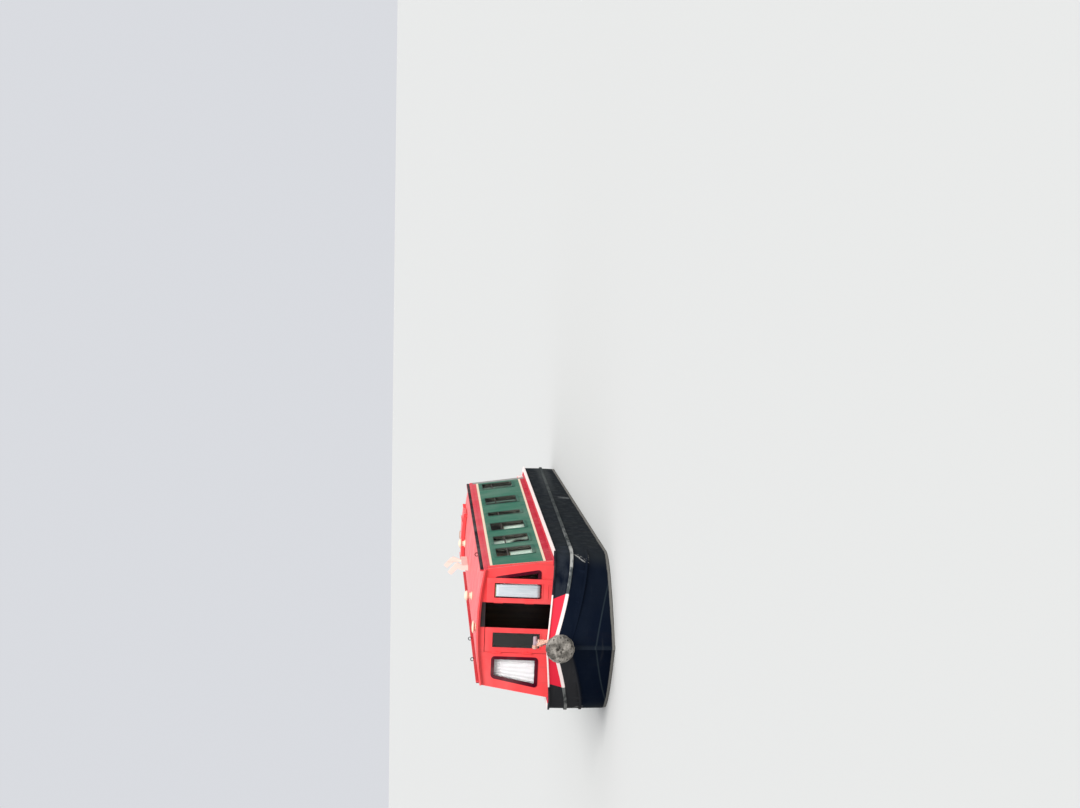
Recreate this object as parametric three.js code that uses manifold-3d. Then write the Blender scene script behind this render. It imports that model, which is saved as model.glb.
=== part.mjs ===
// A narrowboat with a traditional stern, in millimetres.
// X runs forward to the bow, Y to port and Z up. The origin is under the base plate, midway along the boat.
import * as THREE from "three";
import { mergeVertices } from "three/addons/utils/BufferGeometryUtils.js";
import Module from "manifold-3d";

const wasm = await Module();
wasm.setup();

// Driving dimensions of the hull
const seat = 0.3; // gap between pieces that rest on each other
const plate = 12; // base plate
const wall = 55; // hull side with its lining
const deckPlate = 20;
const uxterZ = 570; // underside of the counter
const gunwaleZ = 1130; // top of the gunwale
const wallTop = gunwaleZ - deckPlate;
const halfBeam = 1040;
const swimStart = -4150; // the hull starts to narrow here
const bowStart = 4480; // the bow shell starts here
const sternPost = { x: -5650, half: 30 };
const counter = { x: -5350, length: 850 }; // the half ellipse of the counter
const bowRise = { high: 115, power: 2.1 }; // of the bulwark, up to the stem

// The rubbing strake climbs gently from the stern and curls up towards the stem; the guard runs below it
const strake = { proud: 20, height: 36, rear: 846, climb: 0.0054 };
const strakeCurl = { from: 4900, over: 1490, high: 250, power: 2.75 };
const guard = { proud: 8, half: 14, drop: 190, aft: bowStart + 200 };

// Hull sections: height, half breadth, where the bow closes from, where it meets the stem, its fullness
const levels = [
  { z: plate, half: 1000, shoulder: 4500, stem: 6100, full: 1.75 },
  { z: 420, half: 1014, shoulder: 4860, stem: 6300, full: 1.8 },
  { z: 900, half: 1022, shoulder: 4900, stem: 6365, full: 2.0 },
  { z: wallTop, half: 1016, shoulder: 4920, stem: 6390, full: 2.15 },
];

// Driving dimensions of the cabin
const cabin = { front: 5000, rear: -5180, base: 888, edge: 751, top: 2015, wall: 50 };
const roof = { camber: 70, thick: 50, overhang: 55, nosing: 24 };
const roofUnder = cabin.top - roof.thick;
const lean = (cabin.base - cabin.edge) / (cabin.top - gunwaleZ);
const floorZ = 150;
const wellZ = 700;
const foredeck = { x: 5700, z: 1115 };

// Side windows, the same each side: middle, width
const sideWindows = [
  { x: 3625, width: 880 },
  { x: 2365, width: 890 },
  { x: 880, width: 900 },
  { x: -630, width: 500 },
  { x: -2295, width: 950 },
  { x: -4350, width: 860 },
];
const windowZ = { low: 1325, high: 1845, corner: 70 };
const frame = { width: 24, flange: 17, proud: 8, deep: 40, pane: 8, paneAt: 10, rebate: 4 };
const hopper = { share: 0.66, half: 9, from: 2, to: 20 }; // the bar below a window's opening top
const frontWindow = { inner: 390, outerLow: 750, outerHigh: 643, low: 1290, high: 1860, corner: 22 };

// Doors and hatch
const pin = { out: 9, radius: 8.5 }; // hinge pins stand this far out from the bulkhead
const frontDoor = { half: 320, low: 865, high: 1968, head: 8, thick: 30, gap: 5 };
const doorGlass = { near: 62, far: 255, low: 1260, high: 1870, pane: 6 };
const rearDoor = { half: 340, low: 1220, high: 2000, hingeTop: 1940, thick: 30, gap: 5 };
const hatch = { front: -3610, length: 800, half: 424, side: 12, opening: 385, edge: -4390, lip: 8, clear: 6 };
const runner = { width: 20, high: 45, front: -3600, root: 8 };

// Stern gear
const stock = { x: -6030, radius: 20, bore: 21, tube: 34, top: 1175, collar: 32, collarTop: 1260 };
const blade = { fore: -5920, aft: -6590, low: 85, high: 548, thick: 16 }; // of the rudder
const skeg = { top: 40, half: 35, aft: -6095, cup: 22 };
const propeller = { x: -5800, z: 300, radius: 215, hub: 42, hubHalf: 55 };
const shaft = { radius: 18, bore: 18.9, front: -5300 };
const sternTube = { radius: 45, aft: -5700, fore: -5500 };

const paint = (color, roughness, metalness = 0.1) =>
  new THREE.MeshStandardMaterial({ color, roughness, metalness });
const black = () => paint(0x22262b, 0.55);
const red = () => paint(0xc8202c, 0.3);
const green = () => paint(0x2f5f50, 0.35);
const cream = () => paint(0xe9dfc0, 0.4);
const steel = () => paint(0x55585a, 0.6, 0.6);
const brass = () => paint(0xc9a24a, 0.3, 0.9);
const wood = () => paint(0x8a6238, 0.6, 0);
const rope = () => paint(0x8b8172, 0.95, 0);

const boat = new THREE.Group();

function add(name, shape, material) {
  const mesh = new THREE.Mesh(shape, material);
  mesh.name = name;
  boat.add(mesh);
}

// Solids for joining and cutting

function solid(geometry) {
  const bare = geometry.clone();
  for (const extra of ["normal", "uv"]) {
    if (bare.getAttribute(extra)) bare.deleteAttribute(extra);
  }
  const merged = mergeVertices(bare, 1e-3);
  const count = merged.getAttribute("position").count;
  const index = merged.index ? merged.index.array : [...Array(count).keys()];
  const mesh = new wasm.Mesh({
    numProp: 3,
    vertProperties: new Float32Array(merged.getAttribute("position").array),
    triVerts: new Uint32Array(index),
  });
  return new wasm.Manifold(mesh);
}

function shapeOf(manifold) {
  const mesh = manifold.getMesh();
  const geometry = new THREE.BufferGeometry();
  geometry.setAttribute("position", new THREE.BufferAttribute(new Float32Array(mesh.vertProperties), 3));
  geometry.setIndex([...mesh.triVerts]);
  return geometry;
}

const joined = (...solids) => solids.reduce((all, next) => all.add(next));

function box(x0, x1, y0, y1, z0, z1) {
  const shape = new THREE.BoxGeometry(x1 - x0, y1 - y0, z1 - z0);
  return solid(shape.translate((x0 + x1) / 2, (y0 + y1) / 2, (z0 + z1) / 2));
}

function cylinder(axis, radius, from, to, a, b, sides = 16) {
  const shape = new THREE.CylinderGeometry(radius, radius, to - from, sides);
  const middle = (from + to) / 2;
  if (axis === "x") shape.rotateZ(-Math.PI / 2).translate(middle, a, b);
  if (axis === "y") shape.translate(a, middle, b);
  if (axis === "z") shape.rotateX(Math.PI / 2).translate(a, b, middle);
  return solid(shape);
}

// A mirror image, with its faces still pointing out
function flipped(geometry, scale) {
  const other = geometry.clone().scale(...scale);
  const index = [...other.index.array];
  for (let i = 0; i < index.length; i += 3) [index[i], index[i + 1]] = [index[i + 1], index[i]];
  other.setIndex(index);
  return other;
}

const mirrored = (geometry) => flipped(geometry, [1, -1, 1]);

// A closed body through rings of equal count, its ends capped by strips from one side to the other
function loft(sections) {
  const clockwise = THREE.ShapeUtils.area(sections[0].map(([x, y]) => new THREE.Vector2(x, y))) < 0;
  const rings = clockwise ? sections.map((points) => [...points].reverse()) : sections;
  const count = rings[0].length;
  const points = rings.flat().flatMap(([x, y, z]) => [x, y, z]);
  const faces = [];
  for (let level = 0; level + 1 < rings.length; level++) {
    for (let i = 0; i < count; i++) {
      const [a, b] = [level * count + i, level * count + ((i + 1) % count)];
      faces.push(a, b, b + count, a, b + count, a + count);
    }
  }
  const top = (rings.length - 1) * count;
  const cap = (a, b, c) => faces.push(a, c, b, top + a, top + b, top + c);
  const pointed = Math.abs(rings[0][0][1]) < 1e-6;
  let [i, j] = [pointed ? 1 : 0, count - 1];
  if (pointed) cap(0, 1, j);
  while (j - i > 2) {
    cap(i, i + 1, j - 1);
    cap(i, j - 1, j);
    i++;
    j--;
  }
  if (j - i === 2) cap(i, i + 1, j);
  const geometry = new THREE.BufferGeometry();
  geometry.setAttribute("position", new THREE.BufferAttribute(new Float32Array(points), 3));
  geometry.setIndex(faces);
  return solid(geometry);
}

// A flat outline in Y and Z, carried along X
function alongX(outline, x0, x1) {
  const shape = new THREE.Shape(outline.map(([y, z]) => new THREE.Vector2(y, z)));
  const solidShape = new THREE.ExtrudeGeometry(shape, { depth: x1 - x0, bevelEnabled: false });
  const turn = new THREE.Matrix4().makeBasis(
    new THREE.Vector3(0, 1, 0), new THREE.Vector3(0, 0, 1), new THREE.Vector3(1, 0, 0));
  return solid(solidShape.applyMatrix4(turn).translate(x0, 0, 0));
}

// Hull outlines

function levelAt(z) {
  const i = Math.max(1, levels.findIndex((level) => z <= level.z));
  const [low, high] = [levels[i - 1], levels[i]];
  const part = (z - low.z) / (high.z - low.z);
  const mix = (key) => low[key] + part * (high[key] - low[key]);
  return { z, half: mix("half"), shoulder: mix("shoulder"), stem: mix("stem"), full: mix("full") };
}

const noseInset = 1.25; // the stem moves back more than the sides move in
const bulwark = levels[3].stem - cabin.front;
const sheer = (x) => bowRise.high * Math.max(0, (x - cabin.front) / bulwark) ** bowRise.power;

function bowPoint(level, inset, t) {
  const stem = level.stem - noseInset * inset;
  return [level.shoulder + t * (stem - level.shoulder), (level.half - inset) * (1 - t ** level.full)];
}

const bowSteps = 10;
const sternSteps = 10;

function bowSide(level, inset) {
  const points = [];
  for (let i = 0; i <= bowSteps; i++) points.push(bowPoint(level, inset, i / bowSteps));
  return points;
}

function swimSide(level, inset) {
  const start = sternPost.x + 6 * inset;
  const points = [];
  for (let i = 0; i <= sternSteps; i++) {
    const part = i / sternSteps;
    const swell = part * part * (3 - 2 * part);
    const y = sternPost.half + swell * (level.half - inset - sternPost.half);
    points.push([start + part * (swimStart - start), y]);
  }
  return points;
}

function counterSide(level, inset) {
  const points = [];
  for (let i = 0; i <= sternSteps; i++) {
    const angle = (Math.PI / 2) * (1 - i / sternSteps);
    const reach = counter.length - inset;
    points.push([counter.x - reach * Math.sin(angle), (level.half - inset) * Math.cos(angle)]);
  }
  return points;
}

// Both sides of a half outline that runs from stern to stem, as a ring at a height
function ring(side, height) {
  const clear = side.filter(([, y]) => y > 1e-6);
  const [first, last] = [side[0], side.at(-1)];
  const ends = [first, last].map(([x, y]) => (y > 1e-6 ? [] : [[x, 0]]));
  const starboard = clear.map(([x, y]) => [x, -y]);
  const port = [...clear].reverse();
  return [...ends[0], ...starboard, ...ends[1], ...port].map(([x, y]) => [x, y, height(x)]);
}

function hullSolid(inset, under, over) {
  const lower = [under, 420, uxterZ + over].map((z) => {
    const level = levelAt(z);
    return ring([...swimSide(level, inset), ...bowSide(level, inset)], () => z);
  });
  const upper = [uxterZ + over, 900, wallTop].map((z) => {
    const level = levelAt(z);
    const height = z === wallTop ? (x) => z + over + sheer(x) : () => z;
    return ring([...counterSide(level, inset), ...bowSide(level, inset)], height);
  });
  return loft(lower).add(loft(upper));
}

const outer = hullSolid(0, plate, 0);
const inner = hullSolid(wall, 0, deckPlate);
const inside = hullSolid(wall + 0.4, plate, deckPlate + 0.4);
const shell = outer.subtract(inner);

const everywhere = 8000;

// Base plate
const plateEdge = 20;
const base = levelAt(plate);
const plateSide = [
  ...swimSide(base, 0),
  ...bowSide(base, 0),
].map(([x, y], i, all) => (i === all.length - 1 ? [x + plateEdge, 0] : [x, y + plateEdge]));
add("base_plate", shapeOf(loft([0, plate - seat].map((z) => ring(plateSide, () => z)))), black());

// Rubbing strakes, which climb towards the stem
function strakeZ(x) {
  const along = Math.max(0, (x - strakeCurl.from) / strakeCurl.over);
  return strake.rear + strake.climb * (x - cabin.rear) + strakeCurl.high * along ** strakeCurl.power;
}

function strakeBand(side, low, high, proud) {
  const widened = side.map(([x, y], i) => {
    const stem = y < 1e-6;
    return [stem ? x + proud : x, stem ? 0 : y + proud];
  });
  return loft([
    ring(widened, (x) => strakeZ(x) + low),
    ring(widened, (x) => strakeZ(x) + high),
  ]);
}

const strakeSide = [...counterSide(levels[2], 0), ...bowSide(levels[2], 0)];
const fullStrake = strakeBand(strakeSide, -strake.height / 2, strake.height / 2, strake.proud);
const forwardOf = (x) => box(x, everywhere, -everywhere, everywhere, -everywhere, everywhere);
const bowGuard = strakeBand(strakeSide, -guard.drop - guard.half, -guard.drop + guard.half, guard.proud)
  .intersect(forwardOf(guard.aft));
const strakeCore = hullSolid(wall / 2, plate, 200); // keeps the strakes out of the hollow hull
const straked = shell.add(fullStrake.add(bowGuard).subtract(strakeCore));

// Gunwales: wide beside the cabin, where it stands on them, and a capping round the bow
const gunwaleOver = halfBeam - levels[3].half;
const gunwaleInner = cabin.base - 60;

function gunwaleSections() {
  const top = levels[3];
  const grown = { ...top, half: halfBeam, stem: top.stem + gunwaleOver };
  const sections = [
    { out: [cabin.rear, halfBeam], in: [cabin.rear, gunwaleInner] },
    { out: [top.shoulder, halfBeam], in: [top.shoulder, gunwaleInner] },
    { out: [cabin.front, bowPoint(grown, 0, 0.055)[1]], in: [cabin.front, gunwaleInner] },
  ];
  for (let i = 1; i <= bowSteps; i++) {
    const t = i / bowSteps;
    sections.push({ out: bowPoint(grown, 0, t), in: bowPoint(top, wall + 5, t) });
  }
  return sections;
}

function gunwale() {
  const sections = gunwaleSections();
  const half = [...sections.map((s) => s.out), ...[...sections].reverse().map((s) => s.in)];
  const rings = [wallTop + seat, gunwaleZ].map((z) =>
    half.map(([x, y]) => [x, y + seat / 2, z + sheer(x)]));
  return shapeOf(loft(rings));
}
const portGunwale = gunwale();
add("gunwale_port", portGunwale, cream());
add("gunwale_starboard", mirrored(portGunwale), cream());
const underGunwales = [portGunwale, mirrored(portGunwale)].map((shape) =>
  solid(shape.clone().translate(0, 0, -seat)));

// Hull sides, bow and stern shells
const sideBox = (y0, y1) => box(swimStart + seat, bowStart, y0, y1, -everywhere, everywhere);
add("hull_side_port", shapeOf(straked.intersect(sideBox(0, everywhere))), black());
add("hull_side_starboard", shapeOf(straked.intersect(sideBox(-everywhere, 0))), black());

// Stem bar: height, how far forward its face is
const stemBar = { half: 22, deep: 70 };
const stemFaces = [[plate, 6125], [420, 6328], [900, 6398], [1100, 6410], [1217, 6410]];
const stemFace = loft(stemFaces.map(([z, face]) => [
  [face - stemBar.deep, -stemBar.half, z],
  [face, -stemBar.half, z],
  [face, stemBar.half, z],
  [face - stemBar.deep, stemBar.half, z],
]));
const bow = straked.intersect(forwardOf(bowStart + seat)).add(stemFace.subtract(inner));
add("bow_shell", shapeOf(bow.subtract(joined(...underGunwales))), black());

const sternBox = (z0, z1) => box(-everywhere, swimStart, -everywhere, everywhere, z0, z1);
const shaftBore = cylinder("x", shaft.bore, propeller.x, shaft.front, 0, propeller.z, 32);
const shaftTube = cylinder("x", sternTube.radius, sternTube.aft, sternTube.fore, 0, propeller.z);
const swim = straked.intersect(sternBox(-everywhere, uxterZ - seat)).add(shaftTube).subtract(shaftBore);
add("swim_shell", shapeOf(swim), black());

const stockBore = cylinder("z", stock.bore, uxterZ - deckPlate, gunwaleZ + deckPlate, stock.x, 0, 32);
const rudderTube = cylinder("z", stock.tube, uxterZ + 5, wallTop - seat, stock.x, 0);
const counterShell = straked.intersect(sternBox(uxterZ, everywhere)).add(rudderTube).subtract(stockBore);
add("counter_shell", shapeOf(counterShell), black());

// Skeg, with the cup that the rudder stands in
const cup = cylinder("z", stock.tube, skeg.top - 1, skeg.top + skeg.cup, stock.x, 0)
  .subtract(cylinder("z", stock.bore, skeg.top, skeg.top + 2 * skeg.cup, stock.x, 0, 32));
const skegBar = box(skeg.aft, sternPost.x - seat, -skeg.half, skeg.half, 0, skeg.top);
add("skeg", shapeOf(skegBar.add(cup)), black());

// Decks and floor
const slab = (x0, x1, z0, z1) => box(x0, x1, -everywhere, everywhere, z0, z1).intersect(inside);
const floorSlab = slab(swimStart + wall, cabin.front - cabin.wall - seat, floorZ - deckPlate, floorZ);
add("cabin_floor", shapeOf(floorSlab), wood());
add("well_deck", shapeOf(slab(cabin.front + seat, foredeck.x - seat, wellZ - deckPlate, wellZ)), steel());
const lockerFront = slab(foredeck.x, foredeck.x + deckPlate, wellZ - deckPlate, foredeck.z - deckPlate / 2);
const foredeckSlab = slab(foredeck.x, everywhere, foredeck.z - deckPlate, foredeck.z);
add("foredeck", shapeOf(foredeckSlab.add(lockerFront)), red());

const deckOuter = { half: halfBeam, length: counter.length + gunwaleOver };
const cant = { half: cabin.base, aft: -6115, thick: 40, high: 90 };

function ellipseSide(half, length, start) {
  const points = [];
  for (let i = 0; i <= sternSteps; i++) {
    const angle = (Math.PI / 2) * (1 - i / sternSteps);
    points.push([counter.x - length * Math.sin(angle), half * Math.cos(angle)]);
  }
  return [...points, [start, half]];
}

// A slab with the counter's round end, between two heights
function deckSlab(half, length, low, high, front = cabin.rear - seat) {
  const side = ellipseSide(half, length, front);
  return loft([low, high].map((z) => ring(side, () => z)));
}

const counterDeck = deckSlab(deckOuter.half, deckOuter.length, wallTop + seat, gunwaleZ);
add("counter_deck", shapeOf(counterDeck.subtract(stockBore)), red());

const cantLength = counter.x - cant.aft;
const cantOuter = deckSlab(cant.half, cantLength, gunwaleZ + seat, gunwaleZ + cant.high);
const cantInner = deckSlab(cant.half - cant.thick, cantLength - cant.thick, gunwaleZ,
  gunwaleZ + 2 * cant.high, cabin.rear + cabin.wall);
add("counter_cant", shapeOf(cantOuter.subtract(cantInner)), red());

// Roof, which is cambered, and the slides of its hatch
const roofTop = (y) => cabin.top + roof.camber * (1 - (y / cabin.edge) ** 2);

function cambered(half, lift) {
  const steps = 12;
  const points = [];
  for (let i = 0; i <= steps; i++) {
    const y = half * (1 - (2 * i) / steps);
    points.push([y, roofTop(y) + lift]);
  }
  return points;
}

const roofSection = [
  ...cambered(cabin.edge, 0),
  [-cabin.edge - lean * roof.thick, roofUnder],
  ...cambered(cabin.edge - 10, -roof.thick).reverse(),
  [cabin.edge + lean * roof.thick, roofUnder],
];
const hatchway = box(cabin.rear - cabin.wall, hatch.edge, -hatch.opening, hatch.opening, 0, everywhere);
const onRoof = (y0, y1, low, high) => [
  [y0, roofTop(y0) + low], [y1, roofTop(y1) + low], [y1, roofTop(y1) + high], [y0, roofTop(y0) + high],
];
const slides = [-1, 1].map((side) => {
  const middle = side * (hatch.opening + runner.width / 2);
  const outline = onRoof(middle - runner.width / 2, middle + runner.width / 2, -runner.root, runner.high);
  return alongX(outline, cabin.rear, runner.front);
});
const nosingEnds = [cabin.front, cabin.front + 2 * roof.overhang];
const belowNosing = [...cambered(halfBeam, -roof.nosing), [-halfBeam, gunwaleZ], [halfBeam, gunwaleZ]];
const roofSlab = alongX(roofSection, cabin.rear, cabin.front + roof.overhang)
  .subtract(joined(hatchway, alongX(belowNosing, ...nosingEnds)));
add("roof", shapeOf(joined(roofSlab, ...slides)), red());

// Sliding hatch, stored pushed forward
const lidIn = hatch.half - hatch.side;
const lidUnder = runner.high + 0.5;
const lidFoot = 8; // its sides end this far above the roof
const lidSection = [
  [hatch.half, roofTop(hatch.half) + lidFoot],
  ...cambered(hatch.half, lidUnder + hatch.side),
  [-hatch.half, roofTop(hatch.half) + lidFoot],
  [-lidIn, roofTop(lidIn) + lidFoot],
  ...cambered(lidIn, lidUnder).reverse(),
  [lidIn, roofTop(lidIn) + lidFoot],
];
const hatchRear = hatch.front - hatch.length;
const lipHalf = hatch.opening - hatch.clear;
const lipTop = cambered(lipHalf, lidUnder + 1);
const rearLipSection = [...lipTop, [-lipHalf, cabin.top - 5], [lipHalf, cabin.top - 5]];
const frontLipSection = [...lipTop, ...cambered(lipHalf, hatch.clear).reverse()];
const rearLip = alongX(rearLipSection, hatchRear, hatchRear + hatch.lip);
const frontLip = alongX(frontLipSection, hatch.front - hatch.lip, hatch.front);
const lid = alongX(lidSection, hatchRear, hatch.front);
add("sliding_hatch", shapeOf(joined(lid, rearLip, frontLip)), red());

// Solid handrails on the roof's edges
const rail = { y: 729, half: 15, high: 42, rear: -5150, front: 4945 };
const railSection = onRoof(rail.y - rail.half, rail.y + rail.half, seat, rail.high);
const portRail = shapeOf(alongX(railSection, rail.rear, rail.front));
add("handrail_port", portRail, black());
add("handrail_starboard", mirrored(portRail), black());

// Mushroom ventilators on the middle of the roof
const crest = cabin.top + roof.camber + seat;
const vents = [
  { x: 4700, y: -50, cap: 80, high: 52, dome: 26 },
  { x: 2300, y: 0, cap: 68, high: 110, dome: 45 },
  { x: -3240, y: 0, cap: 68, high: 110, dome: 45 },
];
const ventFoot = { radius: 60, high: 12, neck: 42 };
vents.forEach(({ x, y, cap, high, dome }, i) => {
  const brim = high - dome;
  const { radius, high: foot, neck } = ventFoot;
  const profile = [[0, 0], [radius, 0], [radius, foot], [neck, foot + 4], [neck, brim], [cap, brim],
    [cap, brim + 0.3 * dome], [cap * 0.8, brim + 0.78 * dome], [cap * 0.4, high], [0, high]];
  const turned = new THREE.LatheGeometry(profile.map(([r, z]) => new THREE.Vector2(r, z)), 16);
  const shape = shapeOf(solid(turned.rotateX(Math.PI / 2).translate(x, y, crest)));
  add(`mushroom_vent_${i + 1}`, shape, brass());
});

// Rack for poles: a plank on edge along the crest, with a bent upright at its front and a slim one behind
const rack = { y: -25, tail: -1750, thick: 30, plankHalf: 20, plankHigh: 95 };
const uprights = [
  { x: -660, foot: 40, waist: 36, knee: 72, bend: 160 },
  { x: -1400, foot: 22, waist: 18, knee: 60, bend: 212 },
];
const arms = uprights.map(({ x, foot, waist, knee, bend }) => {
  const outline = [[-foot, 0], [foot, 0], [waist, rack.plankHigh], [knee, bend], [knee - 18, bend + 40],
    [-72, bend + 142], [-112, bend + 90], [knee - 84, bend], [-waist, rack.plankHigh]];
  const section = outline.map(([y, z]) => [rack.y + y, crest + z]);
  return alongX(section, x - rack.thick / 2, x + rack.thick / 2);
});
const plank = box(rack.tail, uprights[0].x, rack.y - rack.plankHalf, rack.y + rack.plankHalf, crest,
  crest + rack.plankHigh);
add("pole_rack", shapeOf(joined(plank, ...arms)), cream());

// Outlines of windows: corners are moved in or out, then rounded

function moved(points, distance) {
  return points.map((point, i) => {
    const [before, after] = [points.at(i - 1), points[(i + 1) % points.length]];
    const normal = ([x0, y0], [x1, y1]) => {
      const length = Math.hypot(x1 - x0, y1 - y0);
      return [(y1 - y0) / length, (x0 - x1) / length];
    };
    const [n, m] = [normal(before, point), normal(point, after)];
    const bend = 1 + n[0] * m[0] + n[1] * m[1];
    return [point[0] + (distance * (n[0] + m[0])) / bend, point[1] + (distance * (n[1] + m[1])) / bend];
  });
}

function roundedShape(points, radius) {
  const shape = new THREE.Shape();
  const path = [];
  points.forEach((point, i) => {
    const [before, after] = [points.at(i - 1), points[(i + 1) % points.length]];
    const toward = ([x, y]) => {
      const share = radius / Math.hypot(x - point[0], y - point[1]);
      return [point[0] + (x - point[0]) * share, point[1] + (y - point[1]) * share];
    };
    const [a, b] = [toward(before), toward(after)];
    const steps = 3;
    for (let k = 0; k <= steps; k++) {
      const t = k / steps;
      const mix = (j) => (1 - t) ** 2 * a[j] + 2 * t * (1 - t) * point[j] + t * t * b[j];
      path.push(new THREE.Vector2(mix(0), mix(1)));
    }
  });
  shape.setFromPoints(path);
  return shape;
}

function slabOf(points, radius, from, to) {
  const flat = { depth: to - from, bevelEnabled: false };
  return solid(new THREE.ExtrudeGeometry(roundedShape(points, radius), flat).translate(0, 0, from));
}

// A window filling its hole: depth runs inwards from the outer face of the wall
function windowUnit(points, radius, bars) {
  const lightRadius = Math.max(8, radius - frame.width / 2);
  const flange = slabOf(moved(points, frame.flange), radius + frame.width / 2, -frame.proud, -seat);
  const plug = slabOf(moved(points, -seat), radius, -seat - 1, frame.deep);
  const light = slabOf(moved(points, -frame.width), lightRadius, -cabin.wall, 2 * cabin.wall);
  const glazed = moved(points, frame.rebate - frame.width);
  const pane = slabOf(glazed, lightRadius, frame.paneAt, frame.paneAt + frame.pane);
  return joined(flange.add(plug).subtract(light), pane, ...bars);
}

const rectangle = (x0, x1, y0, y1) => [[x0, y0], [x1, y0], [x1, y1], [x0, y1]];

// The slanting side of the cabin: plane coordinates run along X and up the slope, depth runs inwards
const slope = Math.atan(lean);
const sidePlane = new THREE.Matrix4()
  .makeBasis(
    new THREE.Vector3(1, 0, 0),
    new THREE.Vector3(0, -Math.sin(slope), Math.cos(slope)),
    new THREE.Vector3(0, -Math.cos(slope), -Math.sin(slope)),
  )
  .setPosition(0, cabin.base, gunwaleZ);
const upSlope = (z) => (z - gunwaleZ) / Math.cos(slope);
const onSide = (manifold) => solid(shapeOf(manifold).applyMatrix4(sidePlane));

const windowOutlines = sideWindows.map(({ x, width }) =>
  rectangle(x - width / 2, x + width / 2, upSlope(windowZ.low), upSlope(windowZ.high)));
const panelEnds = [cabin.rear + cabin.wall + seat, cabin.front - cabin.wall - seat];
const windowHoles = windowOutlines.map((outline) =>
  slabOf(outline, windowZ.corner, -cabin.wall, 2 * cabin.wall));
const sidePanel = slabOf(rectangle(...panelEnds, -deckPlate, cabin.top), 1, 0, cabin.wall)
  .subtract(joined(...windowHoles));
const sideClip = box(-everywhere, everywhere, 0, everywhere, gunwaleZ + seat, roofUnder - seat);
const portSide = shapeOf(onSide(sidePanel).intersect(sideClip));
add("cabin_side_port", portSide, green());
add("cabin_side_starboard", mirrored(portSide), green());

windowOutlines.forEach((outline, i) => {
  const [[x0, low], , [x1, high]] = outline;
  const middle = low + hopper.share * (high - low);
  const ends = [x0 + frame.width / 2, x1 - frame.width / 2];
  const barOutline = rectangle(...ends, middle - hopper.half, middle + hopper.half);
  const bar = slabOf(barOutline, 1, hopper.from, hopper.to);
  const unit = shapeOf(onSide(windowUnit(outline, windowZ.corner, [bar])));
  add(`window_port_${i + 1}`, unit, black());
  add(`window_starboard_${i + 1}`, mirrored(unit), black());
});

// Bulkheads across the cabin's ends
const faceSection = [
  [cabin.base, gunwaleZ + seat],
  [cabin.base - lean * (roofUnder - gunwaleZ) - 0.5, roofUnder - seat],
  ...cambered(cabin.edge - 10, -roof.thick - seat),
  [-cabin.base + lean * (roofUnder - gunwaleZ) + 0.5, roofUnder - seat],
  [-cabin.base, gunwaleZ + seat],
];

function bulkhead(x0, x1, low, doorway) {
  const face = alongX(faceSection, x0, x1);
  const waist = box(x0, x1, seat - gunwaleInner, gunwaleInner - seat, wallTop - deckPlate, gunwaleZ + 5);
  const below = slab(x0, x1, low, wallTop - 5);
  return joined(face, waist, below).subtract(doorway);
}

// A hinge: leaves and bulkhead share one pin line, with their knuckles one above the other
const knuckle = { high: 60, plate: 6, reach: 26 };
const hingeHeights = [0.14, 0.5, 0.86];

function knuckles(face, out, side, hinge, low, high, onLeaf) {
  const x = face + out * pin.out;
  return joined(...hingeHeights.map((share) => {
    const middle = low + share * (high - low);
    const from = onLeaf ? middle + seat : middle - knuckle.high;
    const to = onLeaf ? middle + knuckle.high : middle;
    const barrel = cylinder("z", pin.radius, from, to, x, side * hinge, 16);
    const reach = onLeaf ? -knuckle.reach : knuckle.reach;
    const [y0, y1] = [side * hinge, side * (hinge + reach)].sort((a, b) => a - b);
    const [xa, xb] = [face - out, face + out * knuckle.plate].sort((a, b) => a - b);
    return barrel.add(box(xa, xb, y0, y1, from, to));
  }));
}

const frontJamb = frontDoor.half + frontDoor.gap;
const through = (x) => [x - 2 * cabin.wall, x + 2 * cabin.wall];
const frontHole = box(...through(cabin.front), -frontJamb, frontJamb, frontDoor.low - frontDoor.gap,
  frontDoor.high + frontDoor.head);
const facePlane = new THREE.Matrix4()
  .makeBasis(new THREE.Vector3(0, 1, 0), new THREE.Vector3(0, 0, 1), new THREE.Vector3(1, 0, 0));
const onFace = (manifold, x) => solid(shapeOf(manifold).applyMatrix4(facePlane).translate(x, 0, 0));
const frontOutline = [
  [frontWindow.inner, frontWindow.low],
  [frontWindow.outerLow, frontWindow.low],
  [frontWindow.outerHigh, frontWindow.high],
  [frontWindow.inner, frontWindow.high],
];
const lightHole = onFace(slabOf(frontOutline, frontWindow.corner, ...through(0)), cabin.front);
const frontKnuckles = [-1, 1].map((side) =>
  knuckles(cabin.front, 1, side, frontJamb, frontDoor.low, frontDoor.high, false));
const otherLight = solid(mirrored(shapeOf(lightHole)));
const frontPanel = bulkhead(cabin.front - cabin.wall, cabin.front, floorZ + seat, frontHole);
const frontWall = frontPanel.subtract(lightHole).subtract(otherLight);
add("front_bulkhead", shapeOf(joined(frontWall, ...frontKnuckles)), red());

// A window's depth runs inwards, which is against X on the front face
const frontUnit = flipped(shapeOf(windowUnit(frontOutline, frontWindow.corner, [])), [1, 1, -1]);
const frontLight = shapeOf(onFace(solid(frontUnit), cabin.front));
add("front_window_port", frontLight, black());
add("front_window_starboard", mirrored(frontLight), black());

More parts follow.
